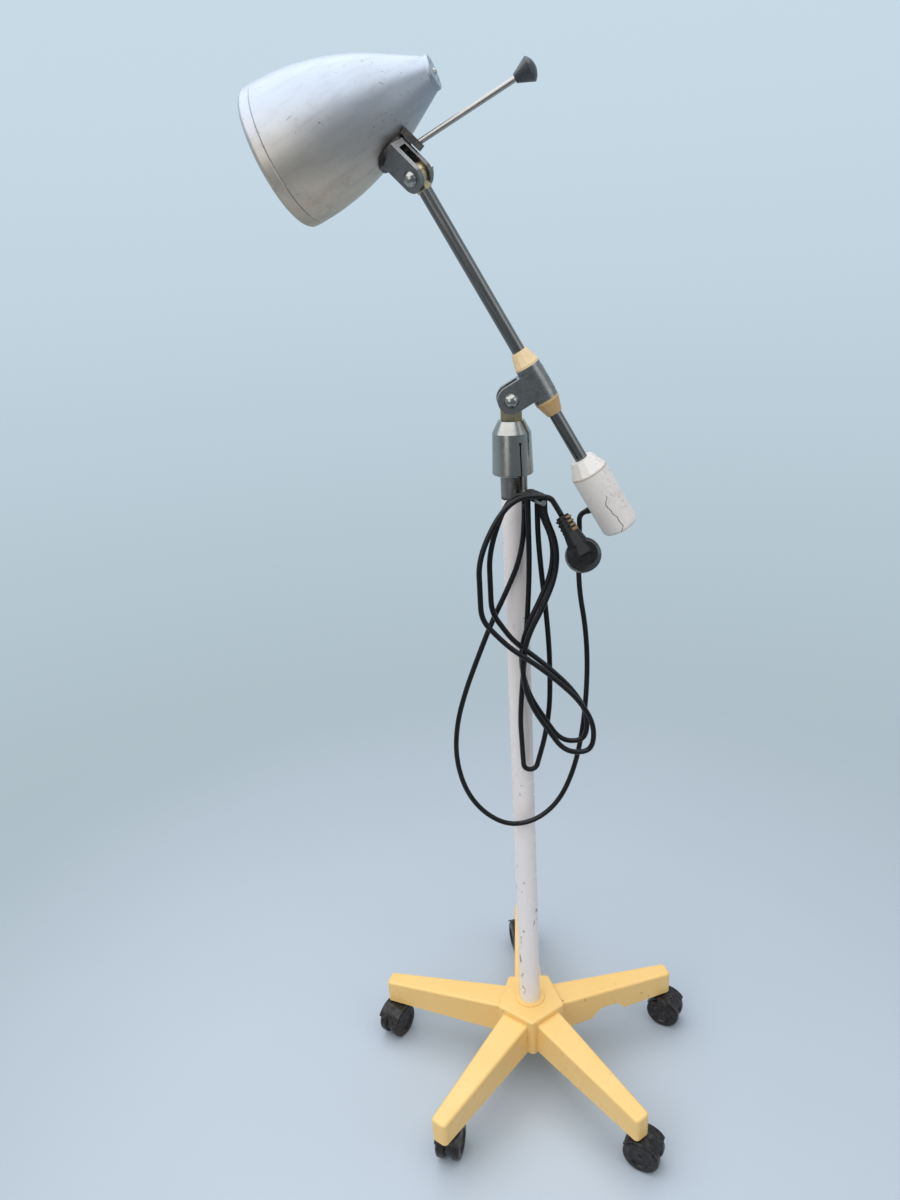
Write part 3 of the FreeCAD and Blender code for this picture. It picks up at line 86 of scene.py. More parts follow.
# The room's colours low down and high up, and the slopes of sight between which they change
ROOM_LOW = (0.40, 0.49, 0.545)
ROOM_HIGH = (0.57, 0.70, 0.79)
SLOPE_LOW = -0.7
SLOPE_HIGH = 0.25
# How much dimmer reflections are on the viewer's side, and the directions between which they dim
DIMMING = 0.55
DIM_START = 0.35
DIM_END = -0.75
# The plain light that the room gives
ROOM_LIGHT = (1.0, 0.97, 0.93)
ROOM_STRENGTH = 0.31

# The camera fitted to the photograph, with the focal length in pixels of a frame 1200 pixels high
CAMERA_PLACE = (-0.07197, -1.02253, 1.16011)
CAMERA_RIGHT = (0.99824, -0.01192, -0.05805)
CAMERA_UP = (0.05841, 0.36420, 0.92949)
CAMERA_BACK = (0.01006, -0.93124, 0.36426)
FOCAL_PIXELS = 886.78
FRAME_HEIGHT = 1200
SENSOR_SIZE = 36.0

# Sockets of the colour mix node
MIX_FIRST = 6
MIX_SECOND = 7
MIX_RESULT = 2


# Materials

class Shading:
    """A shader's node tree, with short ways to add to it."""

    def __init__(self, tree):
        self.tree = tree

    def add(self, kind, **settings):
        """Adds a node."""
        node = self.tree.nodes.new(kind)
        for key, value in settings.items():
            setattr(node, key, value)
        return node

    def link(self, source, target):
        """Gives an input a number, a colour or another node's output."""
        if isinstance(source, (int, float)):
            target.default_value = source
        elif isinstance(source, tuple):
            target.default_value = (*source, 1.0)
        else:
            self.tree.links.new(source, target)

    def math(self, operation, a, b=0.0):
        """One sum on two values."""
        node = self.add("ShaderNodeMath", operation=operation)
        self.link(a, node.inputs[0])
        self.link(b, node.inputs[1])
        return node.outputs[0]

    def plus(self, a, b):
        return self.math("ADD", a, b)

    def minus(self, a, b):
        return self.math("SUBTRACT", a, b)

    def times(self, a, b):
        return self.math("MULTIPLY", a, b)

    def larger(self, a, b):
        return self.math("MAXIMUM", a, b)

    def absolute(self, a):
        return self.math("ABSOLUTE", a)

    def step(self, value, low, high, least=0.0, most=1.0):
        """A smooth step from least, where value is at low, to most, where it is at high."""
        node = self.add("ShaderNodeMapRange", interpolation_type="SMOOTHSTEP")
        self.link(value, node.inputs["Value"])
        self.link(low, node.inputs["From Min"])
        self.link(high, node.inputs["From Max"])
        self.link(least, node.inputs["To Min"])
        self.link(most, node.inputs["To Max"])
        return node.outputs["Result"]

    def mix_colors(self, share, first, second):
        """The first colour where share is 0, the second where it is 1."""
        node = self.add("ShaderNodeMix", data_type="RGBA")
        self.link(share, node.inputs["Factor"])
        self.link(first, node.inputs[MIX_FIRST])
        self.link(second, node.inputs[MIX_SECOND])
        return node.outputs[MIX_RESULT]

    def mix_shaders(self, share, first, second):
        """The first shader where share is 0, the second where it is 1."""
        node = self.add("ShaderNodeMixShader")
        self.link(share, node.inputs["Fac"])
        self.link(first, node.inputs[1])
        self.link(second, node.inputs[2])
        return node.outputs["Shader"]


class Finish(Shading):
    """A material built from texture nodes in the object's own coordinates."""

    def __init__(self, name, color, roughness, metallic=0.0):
        self.material = bpy.data.materials.new(name)
        self.material.use_nodes = True
        super().__init__(self.material.node_tree)
        self.shader = self.tree.nodes["Principled BSDF"]
        self.place = self.add("ShaderNodeTexCoord").outputs["Object"]
        self.color = color
        self.normal = None
        self.set("Base Color", color)
        self.set("Roughness", roughness)
        self.set("Metallic", metallic)

    def set(self, socket, value):
        """Gives one of the shader's own inputs a value."""
        self.link(value, self.shader.inputs[socket])

    def stretched(self, longer, turn=(0, 0, 0), start=(0, 0, 0)):
        """Coordinates in which a texture is drawn out along its own turned axes."""
        node = self.add("ShaderNodeMapping", vector_type="TEXTURE")
        node.inputs["Location"].default_value = start
        node.inputs["Rotation"].default_value = turn
        node.inputs["Scale"].default_value = longer
        self.link(self.place, node.inputs["Vector"])
        return node.outputs["Vector"]

    def part(self, axis):
        """One of the coordinates X, Y and Z."""
        node = self.add("ShaderNodeSeparateXYZ")
        self.link(self.place, node.inputs[0])
        return node.outputs[axis]

    def along(self, axis):
        """Distance along a direction in the object's coordinates."""
        node = self.add("ShaderNodeVectorMath", operation="DOT_PRODUCT")
        self.link(self.place, node.inputs[0])
        node.inputs[1].default_value = axis
        return node.outputs["Value"]

    def noise(self, size, detail=4, rough=0.55, place=None, twist=0.0):
        """Cloudy noise, 0 to 1, whose blobs are about size metres across."""
        node = self.add("ShaderNodeTexNoise")
        self.link(place or self.place, node.inputs["Vector"])
        self.link(1 / size, node.inputs["Scale"])
        self.link(detail, node.inputs["Detail"])
        self.link(rough, node.inputs["Roughness"])
        self.link(twist, node.inputs["Distortion"])
        return node.outputs["Fac"]

    def patches(self, size, detail, low, high, share=1.0, rough=0.55, place=None, least=0.0):
        """Patches about size metres across: least where noise is under low, share where it is over high."""
        return self.step(self.noise(size, detail, rough, place), low, high, least, share)

    def cells(self, size, place=None):
        """Distance from the middle of the nearest of many cells, counted in cells."""
        node = self.add("ShaderNodeTexVoronoi")
        self.link(place or self.place, node.inputs["Vector"])
        self.link(1 / size, node.inputs["Scale"])
        return node.outputs["Distance"]

    def wander(self, value, size):
        """A line's sideways stray, -1 to 1, that changes over about size metres of value."""
        node = self.add("ShaderNodeTexNoise", noise_dimensions="1D")
        self.link(value, node.inputs["W"])
        self.link(1 / size, node.inputs["Scale"])
        self.link(4, node.inputs["Detail"])
        return self.times(self.minus(node.outputs["Fac"], 0.5), 2.0)

    def edges(self, radius, low=0.02, high=0.25):
        """1 on the piece's sharp edges, 0 on its faces."""
        bevel = self.add("ShaderNodeBevel", samples=6)
        self.link(radius, bevel.inputs["Radius"])
        flat = self.add("ShaderNodeNewGeometry").outputs["Normal"]
        dot = self.add("ShaderNodeVectorMath", operation="DOT_PRODUCT")
        self.link(bevel.outputs["Normal"], dot.inputs[0])
        self.link(flat, dot.inputs[1])
        return self.step(self.minus(1.0, dot.outputs["Value"]), low, high)

    def tint(self, share, color):
        """Turns the colour towards another where share is 1."""
        self.color = self.mix_colors(share, self.color, color)
        self.set("Base Color", self.color)

    def wear(self, radius, patches, share, color):
        """Tints the piece's sharp edges in patches."""
        worn = self.times(self.edges(radius), patches)
        self.tint(self.times(worn, share), color)

    def gloss(self, value, smooth, rough, low=0.3, high=0.75):
        """Roughness that goes from smooth to rough as value goes from low to high."""
        self.set("Roughness", self.step(value, low, high, smooth, rough))

    def bump(self, height, depth, strength):
        """Raises the surface by up to depth metres."""
        node = self.add("ShaderNodeBump")
        self.link(strength, node.inputs["Strength"])
        self.link(depth, node.inputs["Distance"])
        self.link(height, node.inputs["Height"])
        if self.normal is not None:
            self.link(self.normal, node.inputs["Normal"])
        self.normal = node.outputs["Normal"]
        self.set("Normal", self.normal)


def scaled(color, factor):
    return tuple(min(1, channel * factor) for channel in color)


def cream_paint():
    """Cream-yellow paint in two tones, paler on worn edges, with a few dark specks."""
    coat = Finish("cream_paint", (0.90, 0.60, 0.215), 0.40)
    coat.tint(coat.patches(0.09, 3, 0.35, 0.7, share=0.4), (0.93, 0.66, 0.28))
    coat.tint(coat.patches(0.05, 5, 0.5, 0.85, share=0.35, rough=0.6), (0.80, 0.50, 0.165))
    coat.wear(0.0016, coat.patches(0.012, 5, 0.42, 0.62, rough=0.7), 0.55, (0.93, 0.75, 0.42))
    specks = coat.times(coat.step(coat.cells(0.011), 0.16, 0.08), coat.patches(0.04, 2, 0.60, 0.68))
    coat.tint(coat.times(specks, 0.75), (0.16, 0.10, 0.05))
    coat.gloss(coat.noise(0.05, 3), 0.27, 0.33)
    coat.bump(coat.noise(0.0035, 3), 0.0004, 0.25)
    return coat.material


def white_paint():
    """White enamel with dark chips, more of them low down, that ends in a ragged edge under the collar."""
    coat = Finish("white_paint", (0.84, 0.82, 0.84), 0.30)
    height = coat.part("Z")
    coat.tint(coat.patches(0.11, 3, 0.35, 0.7, share=0.4), (0.88, 0.87, 0.875))
    streak = coat.noise(0.012, 5, 0.65, coat.stretched((1, 1, 6)))
    coat.tint(coat.step(streak, 0.6, 0.8, 0.0, 0.3), (0.55, 0.50, 0.52))
    chipped = coat.larger(coat.patches(0.06, 3, 0.54, 0.62), coat.step(height, 0.40, 0.28, 0.0, 0.75))
    ragged = coat.stretched((1, 1, 1.5), turn=(0.1, 0.2, 0.2), start=(0.013, 0.021, 0.034))
    chips = coat.times(coat.patches(0.011, 8, 0.62, 0.635, rough=0.62, place=ragged), chipped)
    coat.tint(coat.times(chips, 0.85), (0.06, 0.05, 0.05))
    stray = coat.times(coat.minus(coat.noise(0.005, 5), 0.5), 0.005)
    above = coat.minus(coat.plus(height, stray), PAINT_END)
    bare = coat.step(above, 0.0, 0.0006)
    rim = coat.times(coat.step(above, -0.0004, 0.0002), coat.step(above, 0.0039, 0.0012))
    coat.tint(bare, (0.25, 0.235, 0.22))
    coat.tint(coat.times(bare, coat.step(streak, 0.45, 0.7)), (0.09, 0.075, 0.065))
    coat.tint(coat.times(rim, 0.9), (0.03, 0.027, 0.025))
    coat.set("Metallic", coat.times(bare, 0.9))
    coat.gloss(coat.noise(0.02, 5), 0.18, 0.3)
    coat.bump(coat.minus(0.0, chips), 0.0003, 0.6)
    coat.bump(coat.noise(0.006, 2), 0.0003, 0.15)
    return coat.material


def weight_paint():
    """Thick white enamel with one long crack, dark specks and a dirty line where the cone meets the body."""
    coat = Finish("weight_paint", (0.79, 0.785, 0.78), 0.32)
    coat.tint(coat.patches(0.03, 4, 0.4, 0.75, share=0.4), (0.68, 0.665, 0.65))
    length = coat.along(ARM_AXIS)
    across = coat.minus(coat.along(ARM_SIDE), ARM_MIDDLE)
    line = coat.absolute(coat.minus(across, coat.times(coat.wander(length, 0.02), 0.0075)))
    front = coat.step(coat.part("Y"), -0.004, -0.008)
    cracked = coat.times(front, coat.step(length, CRACK_END, CRACK_END - 0.006))
    crack = coat.times(coat.step(line, 0.0007, 0.0003), cracked)
    fine = coat.absolute(coat.minus(coat.noise(0.03, 5, 0.6, twist=1.5), 0.5))
    crazes = coat.times(coat.step(fine, 0.006, 0.002), coat.patches(0.025, 2, 0.52, 0.6))
    specks = coat.times(coat.patches(0.0035, 4, 0.66, 0.70, rough=0.7), coat.patches(0.02, 2, 0.45, 0.6))
    dirty = coat.step(across, 0.003, 0.015, 0.0, 0.5)
    coat.tint(coat.times(coat.patches(0.004, 6, 0.52, 0.66, rough=0.75), dirty), (0.36, 0.335, 0.31))
    seam = coat.step(coat.absolute(coat.minus(length, CONE_SEAM)), 0.0012, 0.0005)
    coat.tint(coat.times(seam, 0.55), (0.34, 0.25, 0.15))
    coat.wear(0.0012, coat.patches(0.006, 4, 0.45, 0.55, rough=0.7), 0.6, (0.45, 0.34, 0.22))
    marks = coat.larger(coat.larger(crack, specks), coat.times(crazes, 0.6))
    coat.tint(coat.times(marks, 0.9), (0.06, 0.05, 0.045))
    coat.gloss(coat.noise(0.01, 4), 0.26, 0.45, high=0.7)
    coat.bump(coat.minus(0.0, marks), 0.0003, 0.6)
    return coat.material


def aged_chrome():
    """Dulled chrome with upright clouds and small dark spots."""
    coat = Finish("aged_chrome", (0.35, 0.345, 0.325), 0.2, 1.0)
    upright = coat.stretched((1, 1, 2.5))
    coat.tint(coat.patches(0.02, 4, 0.40, 0.75, share=0.35, place=upright), (0.25, 0.24, 0.215))
    coat.tint(coat.patches(0.004, 4, 0.66, 0.74, share=0.6, rough=0.7), (0.12, 0.10, 0.08))
    coat.gloss(coat.noise(0.006, 5, 0.6), 0.17, 0.28)
    coat.bump(coat.noise(0.0018, 4), 0.00005, 0.1)
    return coat.material


def streaked_steel(name, color, axis):
    """Darkened steel drawn along an axis."""
    coat = Finish(name, color, 0.38, 1.0)
    turn = Vector((0, 0, 1)).rotation_difference(Vector(axis)).to_euler()
    lengthwise = coat.stretched((1, 1, 22), tuple(turn))
    fine = coat.noise(0.0016, 3, 0.6, lengthwise)
    broad = coat.noise(0.006, 5, 0.65, lengthwise)
    coat.tint(coat.step(broad, 0.42, 0.72, 0.0, 0.55), scaled(color, 0.5))
    coat.tint(coat.step(fine, 0.58, 0.8, 0.0, 0.35), scaled(color, 1.8))
    coat.tint(coat.patches(0.006, 5, 0.66, 0.74, share=0.5, rough=0.7), (0.05, 0.04, 0.03))
    coat.gloss(fine, 0.22, 0.38)
    coat.bump(fine, 0.0001, 0.12)
    return coat.material


def satin_steel(name, color):
    """Clouded steel with bright worn edges."""
    coat = Finish(name, color, 0.36, 1.0)
    coat.tint(coat.patches(0.009, 5, 0.42, 0.75, share=0.55, rough=0.65), scaled(color, 0.55))
    coat.wear(0.0010, coat.patches(0.006, 4, 0.38, 0.6, rough=0.7), 0.75, (0.60, 0.58, 0.55))
    coat.gloss(coat.noise(0.003, 5, 0.7), 0.25, 0.46)
    coat.bump(coat.noise(0.0012, 4), 0.0002, 0.22)
    return coat.material


def brass():
    """Brass gone brown in patches."""
    coat = Finish("brass", (0.52, 0.43, 0.27), 0.32, 1.0)
    coat.tint(coat.patches(0.008, 6, 0.42, 0.72, share=0.7, rough=0.7), (0.22, 0.17, 0.10))
    coat.gloss(coat.noise(0.005, 5, 0.7), 0.22, 0.5)
    coat.bump(coat.noise(0.0015, 4), 0.0002, 0.2)
    return coat.material


def cone_plastic():
    """Yellowed cream plastic, browner on the nut below the yoke."""
    coat = Finish("cone_plastic", (0.84, 0.67, 0.41), 0.32)
    lower_nut = coat.step(coat.part("Z"), 1.02, 1.0)
    coat.tint(coat.times(lower_nut, 0.8), (0.46, 0.285, 0.115))
    coat.tint(coat.patches(0.012, 5, 0.45, 0.75, share=0.35, rough=0.6), (0.55, 0.39, 0.20))
    coat.wear(0.0010, coat.patches(0.005, 4, 0.4, 0.6), 0.7, (0.92, 0.84, 0.68))
    coat.tint(coat.patches(0.003, 5, 0.69, 0.74, share=0.6, rough=0.7), (0.13, 0.09, 0.05))
    coat.gloss(coat.noise(0.006, 5), 0.32, 0.55)
    coat.bump(coat.noise(0.002, 4), 0.0002, 0.25)
    return coat.material


def silver_lacquer():
    """Silver lacquer on spun sheet with a painted bluish reflection above and a painted warm reflection
    below, dark specks, scuffs and short straight scratches.
    """
    # The base colour's blue cast is a painted reflection of bluish light from above, and it stays on the
    # upper part
    coat = Finish("silver_lacquer", (0.40, 0.445, 0.52), 0.42, 0.8)
    height = coat.part("Z")
    # Painted warm reflection from below, on the shade's lower part
    painted_warm_reflection = coat.step(height, 1.33, 1.21)
    coat.tint(painted_warm_reflection, (0.64, 0.555, 0.455))
    coat.tint(coat.patches(0.05, 3, 0.4, 0.7, share=0.2), (0.40, 0.40, 0.41))
    lengthwise = coat.stretched((9, 1, 1), turn=(0, -0.54, 0))
    streaks = coat.patches(0.007, 4, 0.45, 0.75, share=0.3, rough=0.6, place=lengthwise)
    coat.tint(streaks, (0.30, 0.30, 0.31))
    scuffed = coat.patches(0.045, 2, 0.48, 0.58)
    scuffs = coat.times(coat.patches(0.007, 6, 0.57, 0.68, rough=0.75), scuffed)
    coat.tint(coat.times(scuffs, 0.5), (0.27, 0.235, 0.19))
    low = coat.step(height, 1.30, 1.22)
    mottle = coat.times(coat.patches(0.016, 6, 0.5, 0.72, share=0.35, rough=0.7), low)
    coat.tint(mottle, (0.34, 0.28, 0.21))
    lowest = coat.step(height, 1.235, 1.195)
    dirt = coat.times(lowest, coat.patches(0.02, 5, 0.35, 0.65, least=0.2, share=0.6))
    coat.tint(dirt, (0.36, 0.30, 0.225))
    specks = coat.times(coat.patches(0.003, 3, 0.68, 0.71, rough=0.6), coat.patches(0.05, 2, 0.48, 0.56))
    scratched = coat.patches(0.03, 3, 0.46, 0.54)
    marks = specks
    for turn in ((0, 0.35, 0), (0, -0.6, 0.1), (0, 1.3, 0)):
        scratches = coat.step(coat.cells(0.006, coat.stretched((14, 1, 1), turn)), 0.085, 0.045)
        marks = coat.larger(marks, coat.times(scratches, scratched))
    coat.tint(coat.times(marks, 0.75), (0.13, 0.11, 0.09))
    coat.wear(0.0012, coat.patches(0.008, 5, 0.45, 0.58, rough=0.7), 0.65, (0.17, 0.14, 0.11))
    coat.gloss(coat.noise(0.015, 4), 0.40, 0.46)
    coat.bump(coat.noise(0.0009, 3), 0.0001, 0.15)
    return coat.material


def black_plastic(name, color, dust, wear, shine):
    """Black plastic with dust in patches and paler edges, which are wear and, where they are strong, also a
    painted highlight.
    """
    coat = Finish(name, color, 0.36)
    coat.set("Specular IOR Level", shine)
    coat.tint(coat.patches(0.006, 6, 0.42, 0.74, share=dust, rough=0.7), (0.10, 0.088, 0.084))
    # Paler edges: wear, and where strong also a painted highlight
    coat.wear(0.0012, coat.patches(0.004, 5, 0.4, 0.62), wear, (0.16, 0.145, 0.14))
    coat.gloss(coat.noise(0.005, 5), 0.22, 0.40)
    coat.bump(coat.noise(0.0008, 3), 0.0001, 0.2)
    return coat.material


def black_rubber():
    """The cord's black rubber, a little greyer in patches."""
    coat = Finish("black_rubber", (0.005, 0.0055, 0.006), 0.34)
    coat.set("Specular IOR Level", 0.30)
    coat.tint(coat.patches(0.02, 6, 0.45, 0.8, share=0.5, rough=0.65), (0.016, 0.017, 0.018))
    coat.gloss(coat.noise(0.012, 5), 0.26, 0.44)
    coat.bump(coat.noise(0.0012, 3), 0.00015, 0.3)
    return coat.material


def plug_rubber():
    """Black rubber whose neck ribs are worn tan on one side."""
    coat = Finish("plug_rubber", (0.006, 0.0065, 0.007), 0.34)
    coat.set("Specular IOR Level", 0.26)
    coat.tint(coat.patches(0.01, 6, 0.45, 0.8, share=0.5, rough=0.65), (0.012, 0.012, 0.012))
    up = coat.minus(coat.along(PLUG_UP), PLUG_FOOT)
    side = coat.minus(coat.along(PLUG_SIDE), PLUG_MIDDLE)
    rib = coat.step(coat.math("MODULO", coat.minus(up, RIBS_START), RIB_PITCH), 0.0030, 0.0024)
    over_start = coat.step(up, RIBS_START - 0.0012, RIBS_START)
    under_end = coat.step(up, RIBS_END + 0.001, RIBS_END)
    ribs = coat.times(rib, coat.times(over_start, under_end))
    rubbed = coat.step(coat.plus(side, coat.times(coat.noise(0.006, 3), 0.003)), 0.002, 0.0045)
    coat.tint(coat.times(coat.times(ribs, rubbed), 0.85), (0.30, 0.19, 0.085))
    coat.wear(0.0010, coat.patches(0.004, 5, 0.42, 0.62), 0.35, (0.09, 0.085, 0.08))
    coat.gloss(coat.noise(0.006, 5), 0.24, 0.44)
    coat.bump(coat.noise(0.0012, 3), 0.00015, 0.3)
    return coat.material


def zinc_steel():
    """Zinc-plated steel, stained brown in patches."""
    coat = Finish("zinc_steel", (0.44, 0.43, 0.41), 0.36, 1.0)
    coat.tint(coat.patches(0.005, 6, 0.45, 0.75, share=0.6, rough=0.7), (0.20, 0.17, 0.13))
    coat.gloss(coat.noise(0.004, 5), 0.28, 0.55)
    coat.bump(coat.noise(0.001, 4), 0.00015, 0.25)
    return coat.material


def clear_glass():
    """Clear glass with a slight film of dust."""
    coat = Finish("clear_glass", (0.93, 0.96, 0.96), 0.06)
    coat.set("Transmission Weight", 1.0)
    coat.set("IOR", 1.5)
    coat.gloss(coat.noise(0.02, 4), 0.05, 0.16, low=0.45, high=0.8)
    return coat.material


def frosted_glass():
    """The bulb's frosted glass."""
    coat = Finish("frosted_glass", (0.86, 0.85, 0.82), 0.5)
    coat.set("Transmission Weight", 0.35)
    coat.tint(coat.patches(0.02, 4, 0.4, 0.75, share=0.35), (0.74, 0.73, 0.70))
    coat.bump(coat.noise(0.0008, 2), 0.0001, 0.3)
    return coat.material


def dress(material, *names):
    """Gives CAD nodes a material in place of their own."""
    for name in names:
        slots = nodes[name].data.materials
        slots.clear()
        slots.append(material)
        for face in nodes[name].data.polygons:
            face.material_index = 0


def numbered(pattern):
    """The names of the pieces that each leg has one of."""
    return [pattern.format(number) for number in range(1, LEG_COUNT + 1)]


rubber = black_rubber()
# The casters' strong pale edges are partly wear and partly a painted highlight along their edges
caster_plastic = black_plastic("black_plastic", (0.009, 0.007, 0.007), dust=0.5, wear=0.9, shine=0.34)
knob_plastic = black_plastic("knob_plastic", (0.032, 0.040, 0.052), dust=0.2, wear=0.4, shine=0.5)
dress(cream_paint(), "base_hub", *numbered("leg_{}"))
dress(white_paint(), "column_tube")
dress(weight_paint(), "counterweight_body", "counterweight_cone")
dress(aged_chrome(), "swivel_collar", "pivot_bolt", "pivot_nut", "clevis_bolt", "clevis_nut", "plug_pins")
dress(streaked_steel("rod_steel", (0.40, 0.38, 0.355), ROD_AXIS), "handle_rod")
dress(streaked_steel("drawn_steel", (0.20, 0.195, 0.19), ARM_AXIS), "arm_tube")
# The yoke and the clevis are one dark steel; their copies differ only as painted light and shade, the yoke's
# lighter and the clevis's darker
dress(satin_steel("yoke_steel_painted_lighter", (0.26, 0.255, 0.25)), "arm_yoke", "clamp_rings")
dress(satin_steel("clevis_steel_painted_darker", (0.21, 0.205, 0.205)), "head_clevis")
dress(satin_steel("hook_wire", (0.34, 0.33, 0.31)), "cord_hook")
dress(satin_steel("dark_pin_steel", (0.07, 0.066, 0.06)), *numbered("caster_{}_pins"))
dress(brass(), "pivot_tongue", "arm_tip_tongue", "sleeve_bush")
dress(cone_plastic(), "cone_nuts")
dress(silver_lacquer(), "shade", "front_bezel", "rear_cap")
dress(knob_plastic, "handle_knob")
dress(caster_plastic, "mount_pad", "lamp_holder", *numbered("caster_{}_hood"), *numbered("caster_{}_wheels"))
dress(plug_rubber(), "mains_plug")
dress(rubber, "cord_gland", "cord_free", "cord_hank")
dress(zinc_steel(), "leg_screws", "caster_sockets", "column_foot_plug", "column_washer", "column_bolt",
      "column_top_cap", "rear_cap_screw", "swivel_pin")
dress(clear_glass(), "front_glass")
dress(frosted_glass(), "bulb")


# The cord and its routes

# The free run from the gland to the hook
FREE_ROUTE = [
    (89.34, 17.78, 858.72), (80.73, 24.66, 853.97), (82, 27, 834), (79, 20.5, 796), (79, 11.5, 756),
    (85, 5, 715), (87, -1, 668), (83, -14, 620), (77, -19, 572), (66, -21, 520), (46, -22, 473),
    (15, -23, 445), (-22, -23, 439), (-55, -23, 461), (-78, -23, 498), (-88, -23, 548), (-84, -23, 598),
    (-70, -23, 646), (-52, -23, 692), (-34, -23, 736), (-14, -23, 776), (3, -24, 815),
    (9.96, -26.5, 858.4), (9.96, -26.5, 884.4)]

# The middle of the hook's peg under the first loop, and the step along it to the next loop
PEG = Vector((17.5, -26.5, 891))
PEG_STEP = Vector((3.5, -7.2, 0))
# How far from the peg's middle the route passes, and half a side of the octagon that its corners make there
PEG_BEND = 7.5
PEG_CORNER = PEG_BEND * math.tan(math.pi / 8)
# Where the loops begin below the peg, and how far a wide loop falls straight beside it
HANK_START = (10, -26.5, 884.4)
PEG_FALL = 18

# The narrow loop from the peg's right side down, round its fold and up again to the peg
NARROW_LOOP = [
    (25, -26.5, 832), (36, -26.5, 714), (36, -26.5, 635), (32.5, -26.5, 599), (27, -26.5, 570),
    (22.5, -26.5, 553), (18.2, -26.5, 537), (16.5, -26.5, 531), (11, -26.5, 527), (4.5, -26.5, 527.5),
    (0, -26.5, 532), (-0.6, -26.5, 539), (-1.5, -26.5, 567), (-3, -26.5, 610), (8, -27.2, 717),
    (14, -27.2, 801), (13.5, -33.7, 861)]

# A wide loop as shares of its reach to the right or swing to the left, its drop, and its climb in layers
WIDE_LOOP = [
    (0.53, 0.16, 0), (0.51, 0.28, 0), (0.32, 0.395, 0), (0.12, 0.495, 0), (0.01, 0.595, 0), (0.01, 0.7, 0),
    (0.12, 0.81, 0), (0.34, 0.91, 0), (0.58, 1.01, 0.5), (0.92, 1.02, 0.5), (1.02, 0.97, 0.7),
    (1, 0.88, 0.7), (0.795, 0.78, 1), (0.5, 0.695, 1), (0.17, 0.615, 1), (-0.24, 0.555, 1),
    (-0.62, 0.495, 1), (-1, 0.425, 1), (-1, 0.33, 0.95), (-1, 0.175, 0.95)]
# How many of its first points lead in from the peg's layer
LEAD_POINTS = 2
# Reach, swing and drop of the two wide loops, and their first and last layers along the peg
WIDE_SIZES = [(79, 34, 312, 1.25, 2.3), (85, 47, 320, 3.3, 4.3)]
# How far left a wide loop comes back to the peg's top, and the cord's end from there to the plug
TOP_LEFT = -9
PLUG_RUN = [(36.5, -48.1, 898.5), (44.5, -43, 885), (51.1, -47, 872.7)]


def over_peg(number, rises):
    """The cord's way over the peg, from below on its left side or from the left across its top."""
    here = PEG + PEG_STEP * number
    places = [(-3 * PEG_CORNER, PEG_BEND)]
    if rises:
        places = [(-PEG_BEND, PEG_CORNER), (-PEG_CORNER, PEG_BEND)]
    places += [(PEG_CORNER, PEG_BEND), (PEG_BEND, PEG_CORNER), (PEG_BEND, -PEG_CORNER)]
    return [tuple(here + Vector((x, 0, z))) for x, z in places]


def hank_route():
    """The cord's loops on the hook, the narrow one and the two wide ones, and its end at the plug."""
    route = [HANK_START] + over_peg(0, True) + NARROW_LOOP
    route.append(tuple(PEG + PEG_STEP - Vector((PEG_BEND, 0, PEG_CORNER))))
    for number, (reach, swing, drop, low, high) in enumerate(WIDE_SIZES, start=1):
        route += over_peg(number, number == 1)
        route.append(tuple(PEG + PEG_STEP * number + Vector((PEG_BEND, 0, -PEG_FALL))))
        for index, (side, depth, climb) in enumerate(WIDE_LOOP):
            layer = low + (high - low) * climb
            if index < LEAD_POINTS:
                layer = (low + number) / 2
            width = reach if side > 0 else swing
            route.append((width * side, PEG.y + PEG_STEP.y * layer, PEG.z - drop * depth))
        route.append((TOP_LEFT, PEG.y + PEG_STEP.y * (number + 1), PEG.z + PEG_BEND))
    return route + PLUG_RUN


def spline_points(name, route):
    """Points along a smooth spline that has the route's points as its control points, in metres."""
    curve = bpy.data.curves.new(name, "CURVE")
    curve.dimensions = "3D"
    curve.resolution_u = SPLINE_STEPS
    spline = curve.splines.new("NURBS")
    spline.points.add(len(route) - 1)
    for point, place in zip(spline.points, route):
        point.co = (*[c / MILLIMETRES for c in place], 1.0)
    spline.order_u = 3
    spline.use_endpoint_u = True
    line = bpy.data.objects.new(name, curve)
    scene.collection.objects.link(line)
    bpy.context.view_layer.update()
    mesh = bpy.data.meshes.new_from_object(line)
    points = [vertex.co.copy() for vertex in mesh.vertices]
    bpy.data.meshes.remove(mesh)
    bpy.data.objects.remove(line)
    bpy.data.curves.remove(curve)
    return points


def line_length(points):
    return sum((b - a).length for a, b in zip(points, points[1:]))


def directions(points):
    """The line's direction at each of its points."""
    last = len(points) - 1
    return [(points[min(i + 1, last)] - points[max(i - 1, 0)]).normalized() for i in range(len(points))]


def tube(name, points):
    """A closed round tube along points, with its rings carried along without twist."""
    shape = bmesh.new()
    along = directions(points)
    side = along[0].orthogonal().normalized()
    rings = []
    for i, point in enumerate(points):
        if i:
            side = (along[i - 1].rotation_difference(along[i]) @ side).normalized()
        other = along[i].cross(side)
        ring = []
        for n in range(CORD_SIDES):
            angle = 2 * math.pi * n / CORD_SIDES
            out = side * math.cos(angle) + other * math.sin(angle)
            ring.append(shape.verts.new(point + out * (CORD_DIAMETER / 2)))
        rings.append(ring)
    for low, high in zip(rings, rings[1:]):
        for n in range(CORD_SIDES):
            beside = (n + 1) % CORD_SIDES
            shape.faces.new((low[n], low[beside], high[beside], high[n]))
    shape.faces.new(list(reversed(rings[0])))
    shape.faces.new(rings[-1])
    mesh = bpy.data.meshes.new(name)
    shape.to_mesh(mesh)
    shape.free()
    mesh.shade_smooth()
    mesh.materials.append(rubber)
    piece = bpy.data.objects.new(name, mesh)
    scene.collection.objects.link(piece)
    return piece


